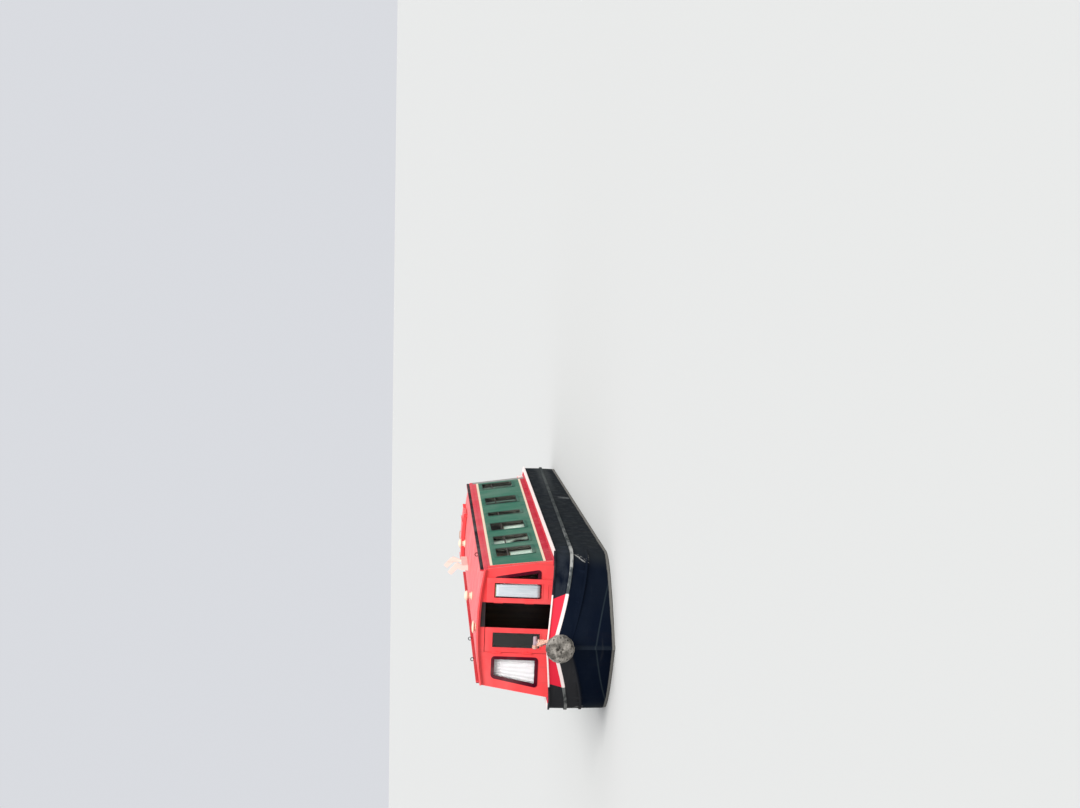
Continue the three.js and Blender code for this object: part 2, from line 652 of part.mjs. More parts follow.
// Front doors: the leaf is made closed on the port side, then folded back about its pin
function frontLeaf() {
  const { half, low, high, thick, gap } = frontDoor;
  const leaf = box(cabin.front - thick, cabin.front, gap / 2, half, low, high);
  const [y0, y1] = [half - doorGlass.far, half - doorGlass.near];
  const cut = box(...through(cabin.front), y0, y1, doorGlass.low, doorGlass.high);
  const middle = cabin.front - thick / 2;
  const pane = box(middle - doorGlass.pane / 2, middle + doorGlass.pane / 2, y0 - frame.rebate,
    y1 + frame.rebate, doorGlass.low - frame.rebate, doorGlass.high + frame.rebate);
  const hinges = knuckles(cabin.front, 1, 1, frontJamb, low, high, true);
  return shapeOf(joined(leaf.subtract(cut), pane, hinges));
}

function folded(shape, x, y) {
  return shape.translate(-x, -y, 0).rotateZ(Math.PI).translate(x, y, 0);
}
add("front_door_starboard", mirrored(frontLeaf()), red());
add("front_door_port", folded(frontLeaf(), cabin.front + pin.out, frontJamb), red());

// Rear bulkhead and doors, which are stored folded back
const rearJamb = rearDoor.half + rearDoor.gap;
const rearHole = box(...through(cabin.rear), -rearJamb, rearJamb, rearDoor.low - rearDoor.gap, everywhere);
const rearKnuckles = [-1, 1].map((side) =>
  knuckles(cabin.rear, -1, side, rearJamb, rearDoor.low, rearDoor.hingeTop, false));
const rearPanel = bulkhead(cabin.rear, cabin.rear + cabin.wall, uxterZ + deckPlate + seat, rearHole);
add("rear_bulkhead", shapeOf(joined(rearPanel, ...rearKnuckles)), red());

function rearLeaf() {
  const { half, low, high, thick, gap } = rearDoor;
  const leaf = box(cabin.rear, cabin.rear + thick, gap / 2, half, low, high);
  const hinges = knuckles(cabin.rear, -1, 1, rearJamb, low, rearDoor.hingeTop, true);
  return folded(shapeOf(leaf.add(hinges)), cabin.rear - pin.out, rearJamb);
}
add("rear_door_port", rearLeaf(), red());
add("rear_door_starboard", mirrored(rearLeaf()), red());

// The engine, as one block on its bearers
const engine = { rear: -4090, front: -3500, half: 260, high: 760 };
const block = box(engine.rear, engine.front, -engine.half, engine.half, floorZ + seat, engine.high);
add("engine", shapeOf(block), steel());

// Bollards on the stern deck and the T stud on the foredeck
const footHigh = 14;
const dolly = { x: -5800, y: 560, post: 26, head: 40, foot: 50, high: 152, headHigh: 22 };
const dollyTop = gunwaleZ + dolly.high;
const portDolly = shapeOf(joined(
  cylinder("z", dolly.post, gunwaleZ + seat, dollyTop - 2, dolly.x, dolly.y),
  cylinder("z", dolly.head, dollyTop - dolly.headHigh, dollyTop, dolly.x, dolly.y),
  cylinder("z", dolly.foot, gunwaleZ + seat, gunwaleZ + footHigh, dolly.x, dolly.y),
));
add("stern_dolly_port", portDolly, black());
add("stern_dolly_starboard", mirrored(portDolly), black());

const stud = { x: 6100, top: 1405, post: 28, foot: 60, bar: { radius: 18, half: 80, drop: 25 } };
const studShape = joined(
  cylinder("z", stud.post, foredeck.z + seat, stud.top - stud.bar.drop / 2, stud.x, 0),
  cylinder("z", stud.foot, foredeck.z + seat, foredeck.z + footHigh, stud.x, 0),
  cylinder("y", stud.bar.radius, -stud.bar.half, stud.bar.half, stud.x, stud.top - stud.bar.drop),
);
add("t_stud", shapeOf(studShape), black());

// Rope fenders: a turned button against the stem and one against the counter
const buttonProfile = [
  [0, 0], [0.78, 0], [0.97, 0.28], [1, 0.5], [0.97, 0.72], [0.78, 0.94], [0.45, 1], [0, 1],
];
const bowFender = { back: 6410, radius: 180, length: 180, z: 1078 };
const sternFender = { radius: 140, length: 170, z: 1030 };

function fender({ radius, length }) {
  const points = buttonProfile.map(([r, s]) => new THREE.Vector2(r * radius, s * (length - seat)));
  return shapeOf(solid(new THREE.LatheGeometry(points, 20).rotateZ(-Math.PI / 2)));
}
add("bow_fender", fender(bowFender).translate(bowFender.back + seat, 0, bowFender.z), rope());
const deckEnd = counter.x - deckOuter.length;
add("stern_fender", fender(sternFender).rotateZ(Math.PI).translate(deckEnd - seat, 0, sternFender.z), rope());

// Rudder, its stock and the tiller, which turn as one
const stockRod = cylinder("z", stock.radius, skeg.top + seat, stock.top, stock.x, 0, 32);
const bladePlate = box(blade.aft, blade.fore, -blade.thick / 2, blade.thick / 2, blade.low, blade.high);
add("rudder", shapeOf(stockRod.add(bladePlate)), black());

function tube(points, radius, sides = 10, steps = 18) {
  const path = new THREE.CatmullRomCurve3(points.map(([x, y, z]) => new THREE.Vector3(x, y, z)));
  const section = new THREE.Shape().absarc(0, 0, radius, 0, 2 * Math.PI);
  return new THREE.ExtrudeGeometry(section, { steps, extrudePath: path, curveSegments: sides / 2 });
}
const armX = -5700; // where the arm leaves the neck
const tiller = { neck: 22, arm: 17 };
const neckPath = [[stock.x, 0, stock.top + seat], [stock.x, 0, 1400], [stock.x - 10, 0, 1650],
  [stock.x + 40, 0, 1860], [stock.x + 150, 0, 1980], [armX + 20, 0, 2034]];
const collar = cylinder("z", stock.collar, stock.top + seat, stock.collarTop, stock.x, 0);
add("tiller_neck", shapeOf(solid(tube(neckPath, tiller.neck)).add(collar).subtract(forwardOf(armX))), red());
const armPath = [[armX - 30, 0, 2026], [-5450, 0, 2065], [-5230, 0, 2096]];
const arm = solid(tube(armPath, tiller.arm, 10, 6)).intersect(forwardOf(armX + seat));
add("tiller_arm", shapeOf(arm), brass());

// Propeller on its shaft
const { hubHalf, radius: sweep } = propeller;
const hub = cylinder("x", propeller.hub, propeller.x - hubHalf, propeller.x + hubHalf, 0, propeller.z);
const shaftRod = cylinder("x", shaft.radius, propeller.x, shaft.front, 0, propeller.z, 32);
const screwBlade = { half: 80, thick: 10, twist: 0.17 * Math.PI };
const blades = [0, 1, 2].map((i) => {
  const [middle, reach] = [0.58 * sweep, 0.42 * sweep];
  const outline = new THREE.Shape().absellipse(0, middle, screwBlade.half, reach, 0, 2 * Math.PI);
  const flat = { depth: screwBlade.thick, bevelEnabled: false, curveSegments: 8 };
  const sheet = new THREE.ExtrudeGeometry(outline, flat);
  sheet.translate(0, 0, -screwBlade.thick / 2).rotateY(Math.PI / 2 + screwBlade.twist);
  const turned = sheet.rotateX(Math.PI / 2).rotateX((i * 2 * Math.PI) / 3);
  return solid(turned.translate(propeller.x, 0, propeller.z));
});
add("propeller", shapeOf(joined(hub, shaftRod, ...blades)), brass());

export default boat;
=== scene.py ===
import math

import bmesh
import bpy
from mathutils import Matrix, Vector


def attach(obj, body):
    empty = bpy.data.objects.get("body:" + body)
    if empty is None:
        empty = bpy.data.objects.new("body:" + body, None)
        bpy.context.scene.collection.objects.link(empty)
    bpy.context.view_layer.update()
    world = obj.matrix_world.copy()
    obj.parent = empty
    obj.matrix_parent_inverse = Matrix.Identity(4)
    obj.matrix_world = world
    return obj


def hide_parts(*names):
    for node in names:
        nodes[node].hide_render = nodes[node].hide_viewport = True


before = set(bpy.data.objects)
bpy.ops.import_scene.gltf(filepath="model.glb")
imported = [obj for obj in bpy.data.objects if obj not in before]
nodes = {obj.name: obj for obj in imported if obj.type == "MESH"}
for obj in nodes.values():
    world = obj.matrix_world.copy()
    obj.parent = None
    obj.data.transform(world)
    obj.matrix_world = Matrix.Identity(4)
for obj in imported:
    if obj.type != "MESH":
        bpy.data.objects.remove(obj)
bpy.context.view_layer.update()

# Camera
# It looks at the boat from ahead and a little to port, through a long lens. The picture lies on its side, as the
# photograph does, with real up to the left.
eye = Vector((40.6922, 5.7208, 3.0662))
yaw, pitch, roll = -0.0787, 0.0469, 0.0387
ahead = Vector((-math.cos(yaw) * math.cos(pitch), math.sin(yaw) * math.cos(pitch), -math.sin(pitch)))
level = ahead.cross(Vector((0, 0, 1))).normalized()
rise = level.cross(ahead)
across = math.cos(roll) * level + math.sin(roll) * rise
upward = -math.sin(roll) * level + math.cos(roll) * rise
camera = bpy.data.objects.new("camera", bpy.data.cameras.new("camera"))
camera.data.sensor_width = 36
camera.data.lens = 93.33
camera.data.clip_end = 1000
camera.matrix_world = Matrix.Translation(eye) @ Matrix((-upward, across, -ahead)).transposed().to_4x4()
bpy.context.scene.collection.objects.link(camera)
bpy.context.scene.camera = camera

# Studio
# A pale floor lies at the waterline, with a hole where the hull stands in it. It falls forward and to starboard, as
# the boat trims by the stern and leans to port. One large soft sun and an even pale surround light the boat.
water_middle, water_fall, water_lean = 0.4965, -0.0183, 0.0263
half_width = 0.99
shares = [i / 12 for i in range(13)]
hull_line = [(-5.35 - 0.825 * math.cos(math.pi / 2 * s), half_width * math.sin(math.pi / 2 * s)) for s in shares]
hull_line += [(4.86 + 1.41 * s, half_width * (1 - s ** 1.8)) for s in shares]
hull_line = [(x, -y) for x, y in hull_line] + hull_line[-2:0:-1]
bm = bmesh.new()
hole = [bm.verts.new((x, y, 0)) for x, y in hull_line]
for i, corner in enumerate(hole):
    bm.edges.new((corner, hole[(i + 1) % len(hole)]))
bmesh.ops.create_circle(bm, cap_ends=False, radius=260, segments=len(hole))
bmesh.ops.bridge_loops(bm, edges=bm.edges[:])
for corner in bm.verts:
    corner.co.z = water_middle + water_fall * corner.co.x + water_lean * corner.co.y
floor_mesh = bpy.data.meshes.new("floor")
bm.to_mesh(floor_mesh)
bm.free()
floor = bpy.data.objects.new("floor", floor_mesh)
bpy.context.scene.collection.objects.link(floor)
floor_paint = bpy.data.materials.new("floor_paint")
floor_paint.use_nodes = True
floor_shader = floor_paint.node_tree.nodes["Principled BSDF"]
floor_shader.inputs["Base Color"].default_value = (0.6, 0.6, 0.58, 1)
floor_shader.inputs["Roughness"].default_value = 0.9
floor_shader.inputs["Specular IOR Level"].default_value = 0.1
floor_mesh.materials.append(floor_paint)

surround = bpy.data.worlds.new("surround")
surround.use_nodes = True
surround.node_tree.nodes["Background"].inputs["Color"].default_value = (0.93, 0.95, 1.0, 1)
surround.node_tree.nodes["Background"].inputs["Strength"].default_value = 0.75
bpy.context.scene.world = surround
sun = bpy.data.objects.new("sun", bpy.data.lights.new("sun", "SUN"))
sun.data.energy = 3.0
sun.data.angle = 0.7
sun.rotation_euler = Vector((0.8, 0.35, 0.85)).to_track_quat("Z", "Y").to_euler()
bpy.context.scene.collection.objects.link(sun)
bpy.context.scene.view_settings.view_transform = "Standard"

# Hull plates
# The base plate, sides, bow, swim and counter are welded steel under black bitumen. It is scraped along the sides
# by lock walls, rubbed to grey steel on the strakes, and stained at the waterline.
# The black's tone also holds painted light: a lighter strake, a grey-green cast aft of the bow and a bluer bow.


def put(tree, kind, sockets=None, **settings):
    """A new shader node with its settings, and with each socket linked or given its value."""
    node = tree.nodes.new("ShaderNode" + kind)
    for key, value in settings.items():
        setattr(node, key, value)
    for key, value in (sockets or {}).items():
        if isinstance(value, bpy.types.NodeSocket):
            tree.links.new(value, node.inputs[key])
        else:
            node.inputs[key].default_value = value
    return node


def calc(tree, operation, a, b=0.0, c=0.0):
    return put(tree, "Math", {0: a, 1: b, 2: c}, operation=operation).outputs[0]


def plus(tree, a, b):
    return calc(tree, "ADD", a, b)


def minus(tree, a, b):
    return calc(tree, "SUBTRACT", a, b)


def times(tree, *factors):
    product = factors[0]
    for factor in factors[1:]:
        product = calc(tree, "MULTIPLY", product, factor)
    return product


def above(tree, value, limit, soft=0.0015):
    """1 where the value is over the limit and 0 where it is under, blended over twice soft."""
    gap = minus(tree, value, limit)
    return put(tree, "MapRange", {0: gap, 1: -soft, 2: soft}, interpolation_type="SMOOTHSTEP").outputs[0]


def between(tree, value, low, high, soft=0.0015):
    return times(tree, above(tree, value, low, soft), above(tree, high, value, soft))


def over(tree, share, under, top):
    return put(tree, "Mix", {0: share, 6: under, 7: top}, data_type="RGBA").outputs[2]


def cloud(tree, coords, stretch, low, high, most=1.0, detail=4.0):
    """Noise stretched along the axes, as 0 below low and as most above high."""
    scaled = put(tree, "Mapping", {"Vector": coords, "Scale": stretch}).outputs[0]
    noise = put(tree, "TexNoise", {"Vector": scaled, "Scale": 1.0, "Detail": detail, "Roughness": 0.6})
    return put(tree, "MapRange", {0: noise.outputs[0], 1: low, 2: high, 4: most},
               interpolation_type="SMOOTHSTEP").outputs[0]


def new_paint(name, constants):
    """A material with its shader's constants set, and its object coordinates."""
    material = bpy.data.materials.new(name)
    material.use_nodes = True
    tree = material.node_tree
    shader = tree.nodes["Principled BSDF"]
    for key, value in constants.items():
        shader.inputs[key].default_value = value
    return material, tree, shader, put(tree, "TexCoord").outputs["Object"]


def axes(tree, coords):
    return put(tree, "SeparateXYZ", {0: coords}).outputs


def bumped(tree, shader, *layers):
    """Height sockets with their depths in metres, one over the other."""
    normal = None
    for height, depth in layers:
        sockets = {"Height": height, "Distance": depth, "Strength": 1.0}
        if normal:
            sockets["Normal"] = normal
        normal = put(tree, "Bump", sockets).outputs[0]
    tree.links.new(normal, shader.inputs["Normal"])


RED = (0.9, 0.075, 0.078, 1)
CREAM = (0.84, 0.7, 0.52, 1)
PALE_CREAM = (0.93, 0.8, 0.76, 1)
BLACK = (0.004, 0.0068, 0.015, 1)
STEEL = (0.4, 0.4, 0.38, 1)


def strake_height(tree, x):
    """The upper rubbing strake is nearly level, and climbs towards the stem."""
    climb = calc(tree, "MAXIMUM", calc(tree, "DIVIDE", minus(tree, x, 4.9), 1.49), 0.0)
    climb = times(tree, calc(tree, "POWER", climb, 2.75), 0.25)
    return plus(tree, calc(tree, "MULTIPLY_ADD", x, 0.0054, 0.874), climb)


def bow_marks(tree, coords, x, y, z, rise_over, base):
    """Scuffs on the black, painted light on each side and on the plate's crease, then the red panels and cream lines
    beside the stem.
    """
    rubbed = times(tree, between(tree, x, 4.62, 5.47, 0.016), between(tree, rise_over, -0.02, 0.02, 0.004),
                   cloud(tree, coords, (3, 3, 14), 0.3, 0.5))
    base = over(tree, rubbed, base, STEEL)
    fall = plus(tree, z, times(tree, x, 0.667))
    slanted = plus(tree, between(tree, fall, 4.262, 4.294, 0.006), between(tree, fall, 4.222, 4.236, 0.005))
    slanted = times(tree, slanted, between(tree, x, 5.1, 5.3, 0.02))
    level_mark = times(tree, between(tree, z, 0.684, 0.698, 0.004), between(tree, x, 5.08, 5.24, 0.03), 0.35)
    scuffed = times(tree, plus(tree, slanted, level_mark), cloud(tree, coords, (14, 14, 22), 0.38, 0.52), 0.8)
    base = over(tree, scuffed, base, STEEL)
    # Painted light: the starboard bow, down to a little below the strake, is painted a lighter grey.
    starboard_lighter = times(tree, above(tree, 0, y, 0.1), above(tree, rise_over, -0.2, 0.02), 0.6)
    base = over(tree, starboard_lighter, base, (0.042, 0.04, 0.038, 1))
    # Painted reflection: patches of a lighter, bluer black on the port bow above the strake stand in for the sky.
    sky_reflection_patches = times(tree, above(tree, rise_over, 0.03, 0.02), above(tree, y, 0.3, 0.2),
                  cloud(tree, coords, (2, 2, 5), 0.3, 0.6, 0.8))
    base = over(tree, sky_reflection_patches, base, (0.03, 0.036, 0.046, 1))
    # Painted highlight: a lighter, bluer line along the plate's crease low on the bow.
    crease = plus(tree, z, times(tree, x, -0.24))
    crease = times(tree, between(tree, crease, -0.902, -0.886, 0.006), above(tree, x, 5.3, 0.2), 0.5)
    base = over(tree, crease, base, (0.035, 0.048, 0.055, 1))
    panel_end = plus(tree, 5.853, times(tree, rise_over, 0.635))
    panel = times(tree, above(tree, x, panel_end), above(tree, rise_over, 0.018))
    # The port panel is painted a touch lighter than the starboard one, as painted light.
    nose_red_lit_port = over(tree, above(tree, y, 0), (0.84, 0.03, 0.06, 1), (0.86, 0.04, 0.07, 1))
    base = over(tree, panel, base, nose_red_lit_port)
    line = times(tree, above(tree, x, 5.865), between(tree, rise_over, -0.022, 0.021))
    base = over(tree, line, base, PALE_CREAM)
    stem_bar = times(tree, above(tree, 0.024, calc(tree, "ABSOLUTE", y), 0.006), above(tree, 0.93, z, 0.05), 0.25)
    return over(tree, stem_bar, base, (0.03, 0.038, 0.045, 1))


def hull_paint(name, nose=False):
    """Bitumen with scrapes, rust runs, a rubbed strake that is partly painted highlight, one scar amidships, painted
    reflection in its tone, and scum and weed at the waterline.
    """
    material, tree, shader, coords = new_paint(name, {"IOR": 1.012})
    x, y, z = axes(tree, coords)
    # Faded patches in the black; on the bow they are bluer, as painted sky reflection.
    faded_and_sky_tint = (0.007, 0.0105, 0.019, 1) if nose else (0.011, 0.014, 0.019, 1)
    base = over(tree, cloud(tree, coords, (0.9, 0.9, 2.5), 0.35, 0.7), BLACK, faded_and_sky_tint)
    scrape = cloud(tree, coords, (0.9, 0.9, 16), 0.6, 0.76, 0.25, 6.0)
    base = over(tree, scrape, base, (0.06, 0.06, 0.058, 1))
    rust = cloud(tree, coords, (3, 3, 0.5), 0.6, 0.78, 0.03 if nose else 0.2)
    base = over(tree, rust, base, (0.09, 0.045, 0.022, 1))
    rise_over = minus(tree, z, strake_height(tree, x))
    chafed = times(tree, between(tree, rise_over, -0.09, 0.07, 0.06), above(tree, -2.4, x, 2.2), 0.6)
    base = over(tree, chafed, base, (0.13, 0.14, 0.14, 1))
    strake = between(tree, rise_over, -0.0195, 0.0195)
    # The whole strake band is painted a lighter grey, partly rubbed steel and partly painted highlight.
    base = over(tree, times(tree, strake, 0.8), base, (0.085, 0.095, 0.095, 1))
    forward = calc(tree, "MULTIPLY_ADD", above(tree, x, 2.7, 0.5), 0.75, 0.25)
    worn = times(tree, strake, cloud(tree, coords, (2.6, 2.6, 9), 0.4, 0.56), forward)
    base = over(tree, worn, base, (0.3, 0.31, 0.3, 1))
    # Painted reflection: aft of the bow the black is painted half towards a lighter grey-green.
    base = over(tree, times(tree, above(tree, 5.25, x, 0.2), 0.5), base, (0.032, 0.036, 0.036, 1))
    if nose:
        base = bow_marks(tree, coords, x, y, z, rise_over, base)
    else:
        scar = times(tree, between(tree, x, -1.29, -1.03, 0.03), between(tree, z, 0.6, 0.765, 0.02),
                     cloud(tree, coords, (14, 14, 3), 0.42, 0.6, 0.6))
        base = over(tree, scar, base, (0.24, 0.25, 0.25, 1))
    slope = plus(tree, times(tree, x, water_fall), times(tree, y, water_lean))
    height = minus(tree, minus(tree, z, water_middle), slope)
    uneven = plus(tree, height, cloud(tree, coords, (3, 3, 3), 0.3, 0.7, 0.008))
    scum = times(tree, between(tree, uneven, 0.008, 0.042, 0.005), 0.8)
    base = over(tree, scum, base, (0.23, 0.22, 0.2, 1))
    weed = times(tree, above(tree, 0.006, uneven, 0.006), 0.8)
    base = over(tree, weed, base, (0.03, 0.032, 0.018, 1))
    tree.links.new(base, shader.inputs["Base Color"])
    tree.links.new(plus(tree, 0.38, cloud(tree, coords, (5, 5, 9), 0.3, 0.7, 0.3)), shader.inputs["Roughness"])
    bumped(tree, shader, (cloud(tree, coords, (1.3, 1.3, 2.0), 0.2, 0.8), 0.0015),
           (cloud(tree, coords, (40, 40, 90), 0.3, 0.7), 0.0004))
    return material


def dress(material, *names):
    """The material of pieces that keep their CAD shape."""
    for name in names:
        nodes[name].data.materials.clear()
        nodes[name].data.materials.append(material)


hull_black = hull_paint("hull_black")
bow_black = hull_paint("bow_black", nose=True)
dress(hull_black, "base_plate")


def made(name, bm, material, body="hull", stands_for=(), sharp=35):
    """A visible piece from a finished mesh, on its body and in place of the CAD pieces it stands for."""
    mesh = bpy.data.meshes.new(name)
    bm.to_mesh(mesh)
    bm.free()
    mesh.materials.append(material)
    mesh.shade_smooth()
    mesh.set_sharp_from_angle(angle=math.radians(sharp))
    piece = bpy.data.objects.new(name, mesh)
    bpy.context.scene.collection.objects.link(piece)
    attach(piece, body)
    if stands_for:
        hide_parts(*stands_for)
    return piece


def soften(bm, size, steepest=50, segments=2):
    """Rounds off the edges that turn by more than steepest degrees."""
    sharp = [edge for edge in bm.edges if edge.calc_face_angle(0) > math.radians(steepest)]
    bmesh.ops.bevel(bm, geom=sharp, offset=size, offset_type="OFFSET", segments=segments, profile=0.5,
                    affect="EDGES", clamp_overlap=True, material=-1)
    return bm


def eased(node, material, size, body="hull", sharp=32, steepest=50):
    """The welded shape itself, with its curves shaded smoothly and its edges rounded off."""
    bm = bmesh.new()
    bm.from_mesh(nodes[node].data)
    bmesh.ops.remove_doubles(bm, verts=bm.verts, dist=0.00005)
    bmesh.ops.dissolve_limit(bm, angle_limit=math.radians(0.6), verts=bm.verts, edges=bm.edges)
    if size:
        soften(bm, size, steepest)
    piece = made(f"{node}_shape", bm, material, body, stands_for=[node], sharp=sharp)
    flat = piece.modifiers.new("flat_faces", "WEIGHTED_NORMAL")
    flat.keep_sharp = True
    return piece


eased("bow_shell", bow_black, 0, sharp=28)
for node in ("hull_side_port", "hull_side_starboard", "swim_shell", "counter_shell"):
    eased(node, hull_black, 0, sharp=28)
eased("skeg", hull_black, 0.003)

# Gunwales
# A flat steel capping, cream beside the cabin and round the nose, and black along the bulwark between them.


def enamel(name, colour, roughness=0.24, dirt=0.22, ripple=0.0015, gloss=1.15):
    """Gloss coach paint that has chalked a little, with dust in runs and a slight orange peel."""
    material, tree, shader, coords = new_paint(name, {"IOR": gloss})
    base = colour(tree, *axes(tree, coords)) if callable(colour) else colour
    base = over(tree, cloud(tree, coords, (1.1, 1.1, 1.6), 0.38, 0.75, 0.1), base, (0.75, 0.68, 0.62, 1))
    base = over(tree, cloud(tree, coords, (11, 11, 0.9), 0.52, 0.8, dirt), base, (0.09, 0.075, 0.06, 1))
    base = over(tree, cloud(tree, coords, (70, 70, 70), 0.7, 0.78, dirt), base, (0.05, 0.045, 0.04, 1))
    tree.links.new(base, shader.inputs["Base Color"])
    worn = cloud(tree, coords, (4, 4, 4), 0.3, 0.75, 0.16)
    tree.links.new(plus(tree, roughness, worn), shader.inputs["Roughness"])
    bumped(tree, shader, (cloud(tree, coords, (1.7, 1.7, 2.2), 0.2, 0.8), ripple),
           (cloud(tree, coords, (260, 260, 260), 0.3, 0.7), 0.0002))
    return material


MARGIN_RED = (0.6, 0.035, 0.06, 1)


def gunwale_colours(tree, x, y, z):
    """Cream with a red inner margin beside the cabin, near black inside it as painted shade, then black, and cream
    round the nose.
    """
    breadth = calc(tree, "ABSOLUTE", y)
    beside = over(tree, above(tree, 0.957, breadth), PALE_CREAM, MARGIN_RED)
    # Inside the cabin the capping is painted near black, as the cabin's shade.
    inside = times(tree, above(tree, 0.86, breadth), above(tree, 4.945, x))
    beside = over(tree, inside, beside, (0.03, 0.02, 0.014, 1))
    beside = over(tree, above(tree, x, 5.07), beside, BLACK)
    return over(tree, above(tree, x, 5.935), beside, PALE_CREAM)


gunwale_livery = enamel("gunwale_livery", gunwale_colours, 0.24, 0.14, 0.0015, 1.03)
for node in ("gunwale_port", "gunwale_starboard"):
    eased(node, gunwale_livery, 0.004, steepest=60)

# Decks
# The foredeck and the cant are red like the cabin. The well and counter decks have grey non-slip paint, and the
# cabin floor is varnished ply on bearers.
cabin_red = enamel("cabin_red", RED)
dress(cabin_red, "foredeck")


def stern_reach(tree, x, y, length, half):
    """How far out a point lies on the counter, where the ellipse of that length and half width is at 1."""
    aft = calc(tree, "MINIMUM", plus(tree, x, 5.35), 0.0)
    squares = [calc(tree, "POWER", calc(tree, "DIVIDE", a, b), 2.0) for a, b in ((aft, length), (y, half))]
    return calc(tree, "SQRT", plus(tree, *squares))


def cant_colours(tree, x, y, z):
    """Cream outside, and red inside and on top."""
    return over(tree, above(tree, stern_reach(tree, x, y, 0.765, 0.888), 0.985), RED, PALE_CREAM)


eased("counter_cant", enamel("cant_livery", cant_colours), 0.006)


def nonslip(name):
    material, tree, shader, coords = new_paint(name, {"Roughness": 0.8})
    base = over(tree, cloud(tree, coords, (3, 3, 3), 0.35, 0.7), (0.1, 0.1, 0.1, 1), (0.16, 0.155, 0.145, 1))
    tree.links.new(base, shader.inputs["Base Color"])
    bumped(tree, shader, (cloud(tree, coords, (420, 420, 420), 0.45, 0.6), 0.0009))
    return material


def ply(name, dark, light, roughness, grain=(1.2, 22, 22)):
    """Varnished wood, with its figure running along the axis whose grain is the smallest number."""
    material, tree, shader, coords = new_paint(name, {"Roughness": roughness})
    figure = cloud(tree, coords, grain, 0.3, 0.7, 1.0, 7.0)
    base = over(tree, figure, dark, light)
    fine = [9 * size for size in grain]
    base = over(tree, cloud(tree, coords, fine, 0.5, 0.75, 0.35), base, (0.03, 0.015, 0.008, 1))
    tree.links.new(base, shader.inputs["Base Color"])
    bumped(tree, shader, (figure, 0.0004))
    return material


dress(nonslip("deck_grey"), "well_deck")


def counter_colours(tree, x, y, z):
    """Grey tread inside the rim, and cream with a red inner margin outside it."""
    reach = stern_reach(tree, x, y, 0.874, 1.04)
    margin = over(tree, above(tree, reach, 0.92), MARGIN_RED, PALE_CREAM)
    return over(tree, above(tree, reach, 0.845), (0.13, 0.128, 0.12, 1), margin)


eased("counter_deck", enamel("counter_livery", counter_colours, 0.35, 0.14, 0.0015, 1.03), 0.004)
dress(ply("floor_ply", (0.11, 0.06, 0.03, 1), (0.18, 0.11, 0.06, 1), 0.4), "cabin_floor")

# Cabin sides
# Steel sides that lean in, painted with a green panel between cream lines and red bands. The lining inside is ply, its
# colour darkened as painted shade of the cabin's inside.
SHADED_LINING = (0.075, 0.045, 0.028, 1)
GREEN = (0.05, 0.17, 0.115, 1)
BAND_RED = (0.7, 0.07, 0.095, 1)
AFT_GREY = (0.3, 0.31, 0.29, 1)
gunwale_top, side_foot, side_lean = 1.13, 0.888, 0.1548


def side_depth(tree, y, z):
    """How far a point lies inside the outer face of the cabin's leaning side."""
    inward = times(tree, minus(tree, z, gunwale_top), side_lean)
    return minus(tree, minus(tree, side_foot, calc(tree, "ABSOLUTE", y)), inward)


def side_colours(tree, x, y, z):
    """Red bands above and below, the lower one painted darker as shade near the gunwale, a cream line round the green
    field, and a grey strip at the rear edge.
    """
    high = minus(tree, z, times(tree, x, 0.002))
    front = plus(tree, 5.17, times(tree, z, -0.225))
    panel = times(tree, between(tree, high, 1.209, 1.922), above(tree, front, x))
    # The lower band is painted a darker red, as painted shade near the gunwale.
    bands = over(tree, above(tree, z, 1.5), (0.5, 0.022, 0.05, 1), BAND_RED)
    bands = over(tree, above(tree, x, front), bands, RED)
    base = over(tree, panel, bands, CREAM)
    field = times(tree, between(tree, high, 1.239, 1.889), above(tree, minus(tree, front, 0.01), x))
    base = over(tree, field, base, GREEN)
    base = over(tree, above(tree, -4.96, x, 0.02), base, AFT_GREY)
    return over(tree, above(tree, side_depth(tree, y, z), 0.03), base, SHADED_LINING)


dress(enamel("cabin_livery", side_colours, 0.26, 0.2, 0.001, 1.012), "cabin_side_port", "cabin_side_starboard")

# Bulkheads
# Red steel outside, and ply inside that is painted very dark as the cabin's shade.


def front_colours(tree, x, y, z):
    """Red, with a dark band of painted shade over the open half of the doorway, and ply inside, painted dark as shade.
    """
    # Painted shade: the bulkhead above the open half of the doorway is painted near black.
    painted_door_shade = times(tree, between(tree, y, 0.0, 0.325, 0.004), above(tree, z, 1.9755))
    base = over(tree, painted_door_shade, RED, (0.035, 0.028, 0.03, 1))
    return over(tree, above(tree, 4.97, x), base, SHADED_LINING)


def rear_colours(tree, x, y, z):
    """Red with grey at the outer edges, and ply inside, painted dark as shade."""
    outside = over(tree, above(tree, 0.004, side_depth(tree, y, z)), RED, AFT_GREY)
    return over(tree, above(tree, x, -5.155), outside, SHADED_LINING)


eased("front_bulkhead", enamel("front_red", front_colours), 0.0025, steepest=60)
eased("rear_bulkhead", enamel("rear_red", rear_colours), 0.0025, steepest=60)

# Roof
# A cambered steel roof, red above, with a cream lining below. A steel rail runs along each edge, with a few eyes
# welded beside it.
roof_half, camber, roof_crown = 0.751, 0.07, 2.085


def roof_colours(tree, x, y, z):
    """Red on top, the band's red on the edges, and a cream lining below."""
    breadth = calc(tree, "ABSOLUTE", y)
    fall = times(tree, calc(tree, "POWER", calc(tree, "DIVIDE", y, roof_half), 2.0), -camber)
    depth = minus(tree, plus(tree, fall, roof_crown), z)
    inside = times(tree, above(tree, depth, 0.045), above(tree, 4.99, x), above(tree, 0.735, breadth))
    base = over(tree, above(tree, breadth, 0.7505, 0.0004), RED, BAND_RED)
    return over(tree, inside, base, (0.5, 0.46, 0.38, 1))


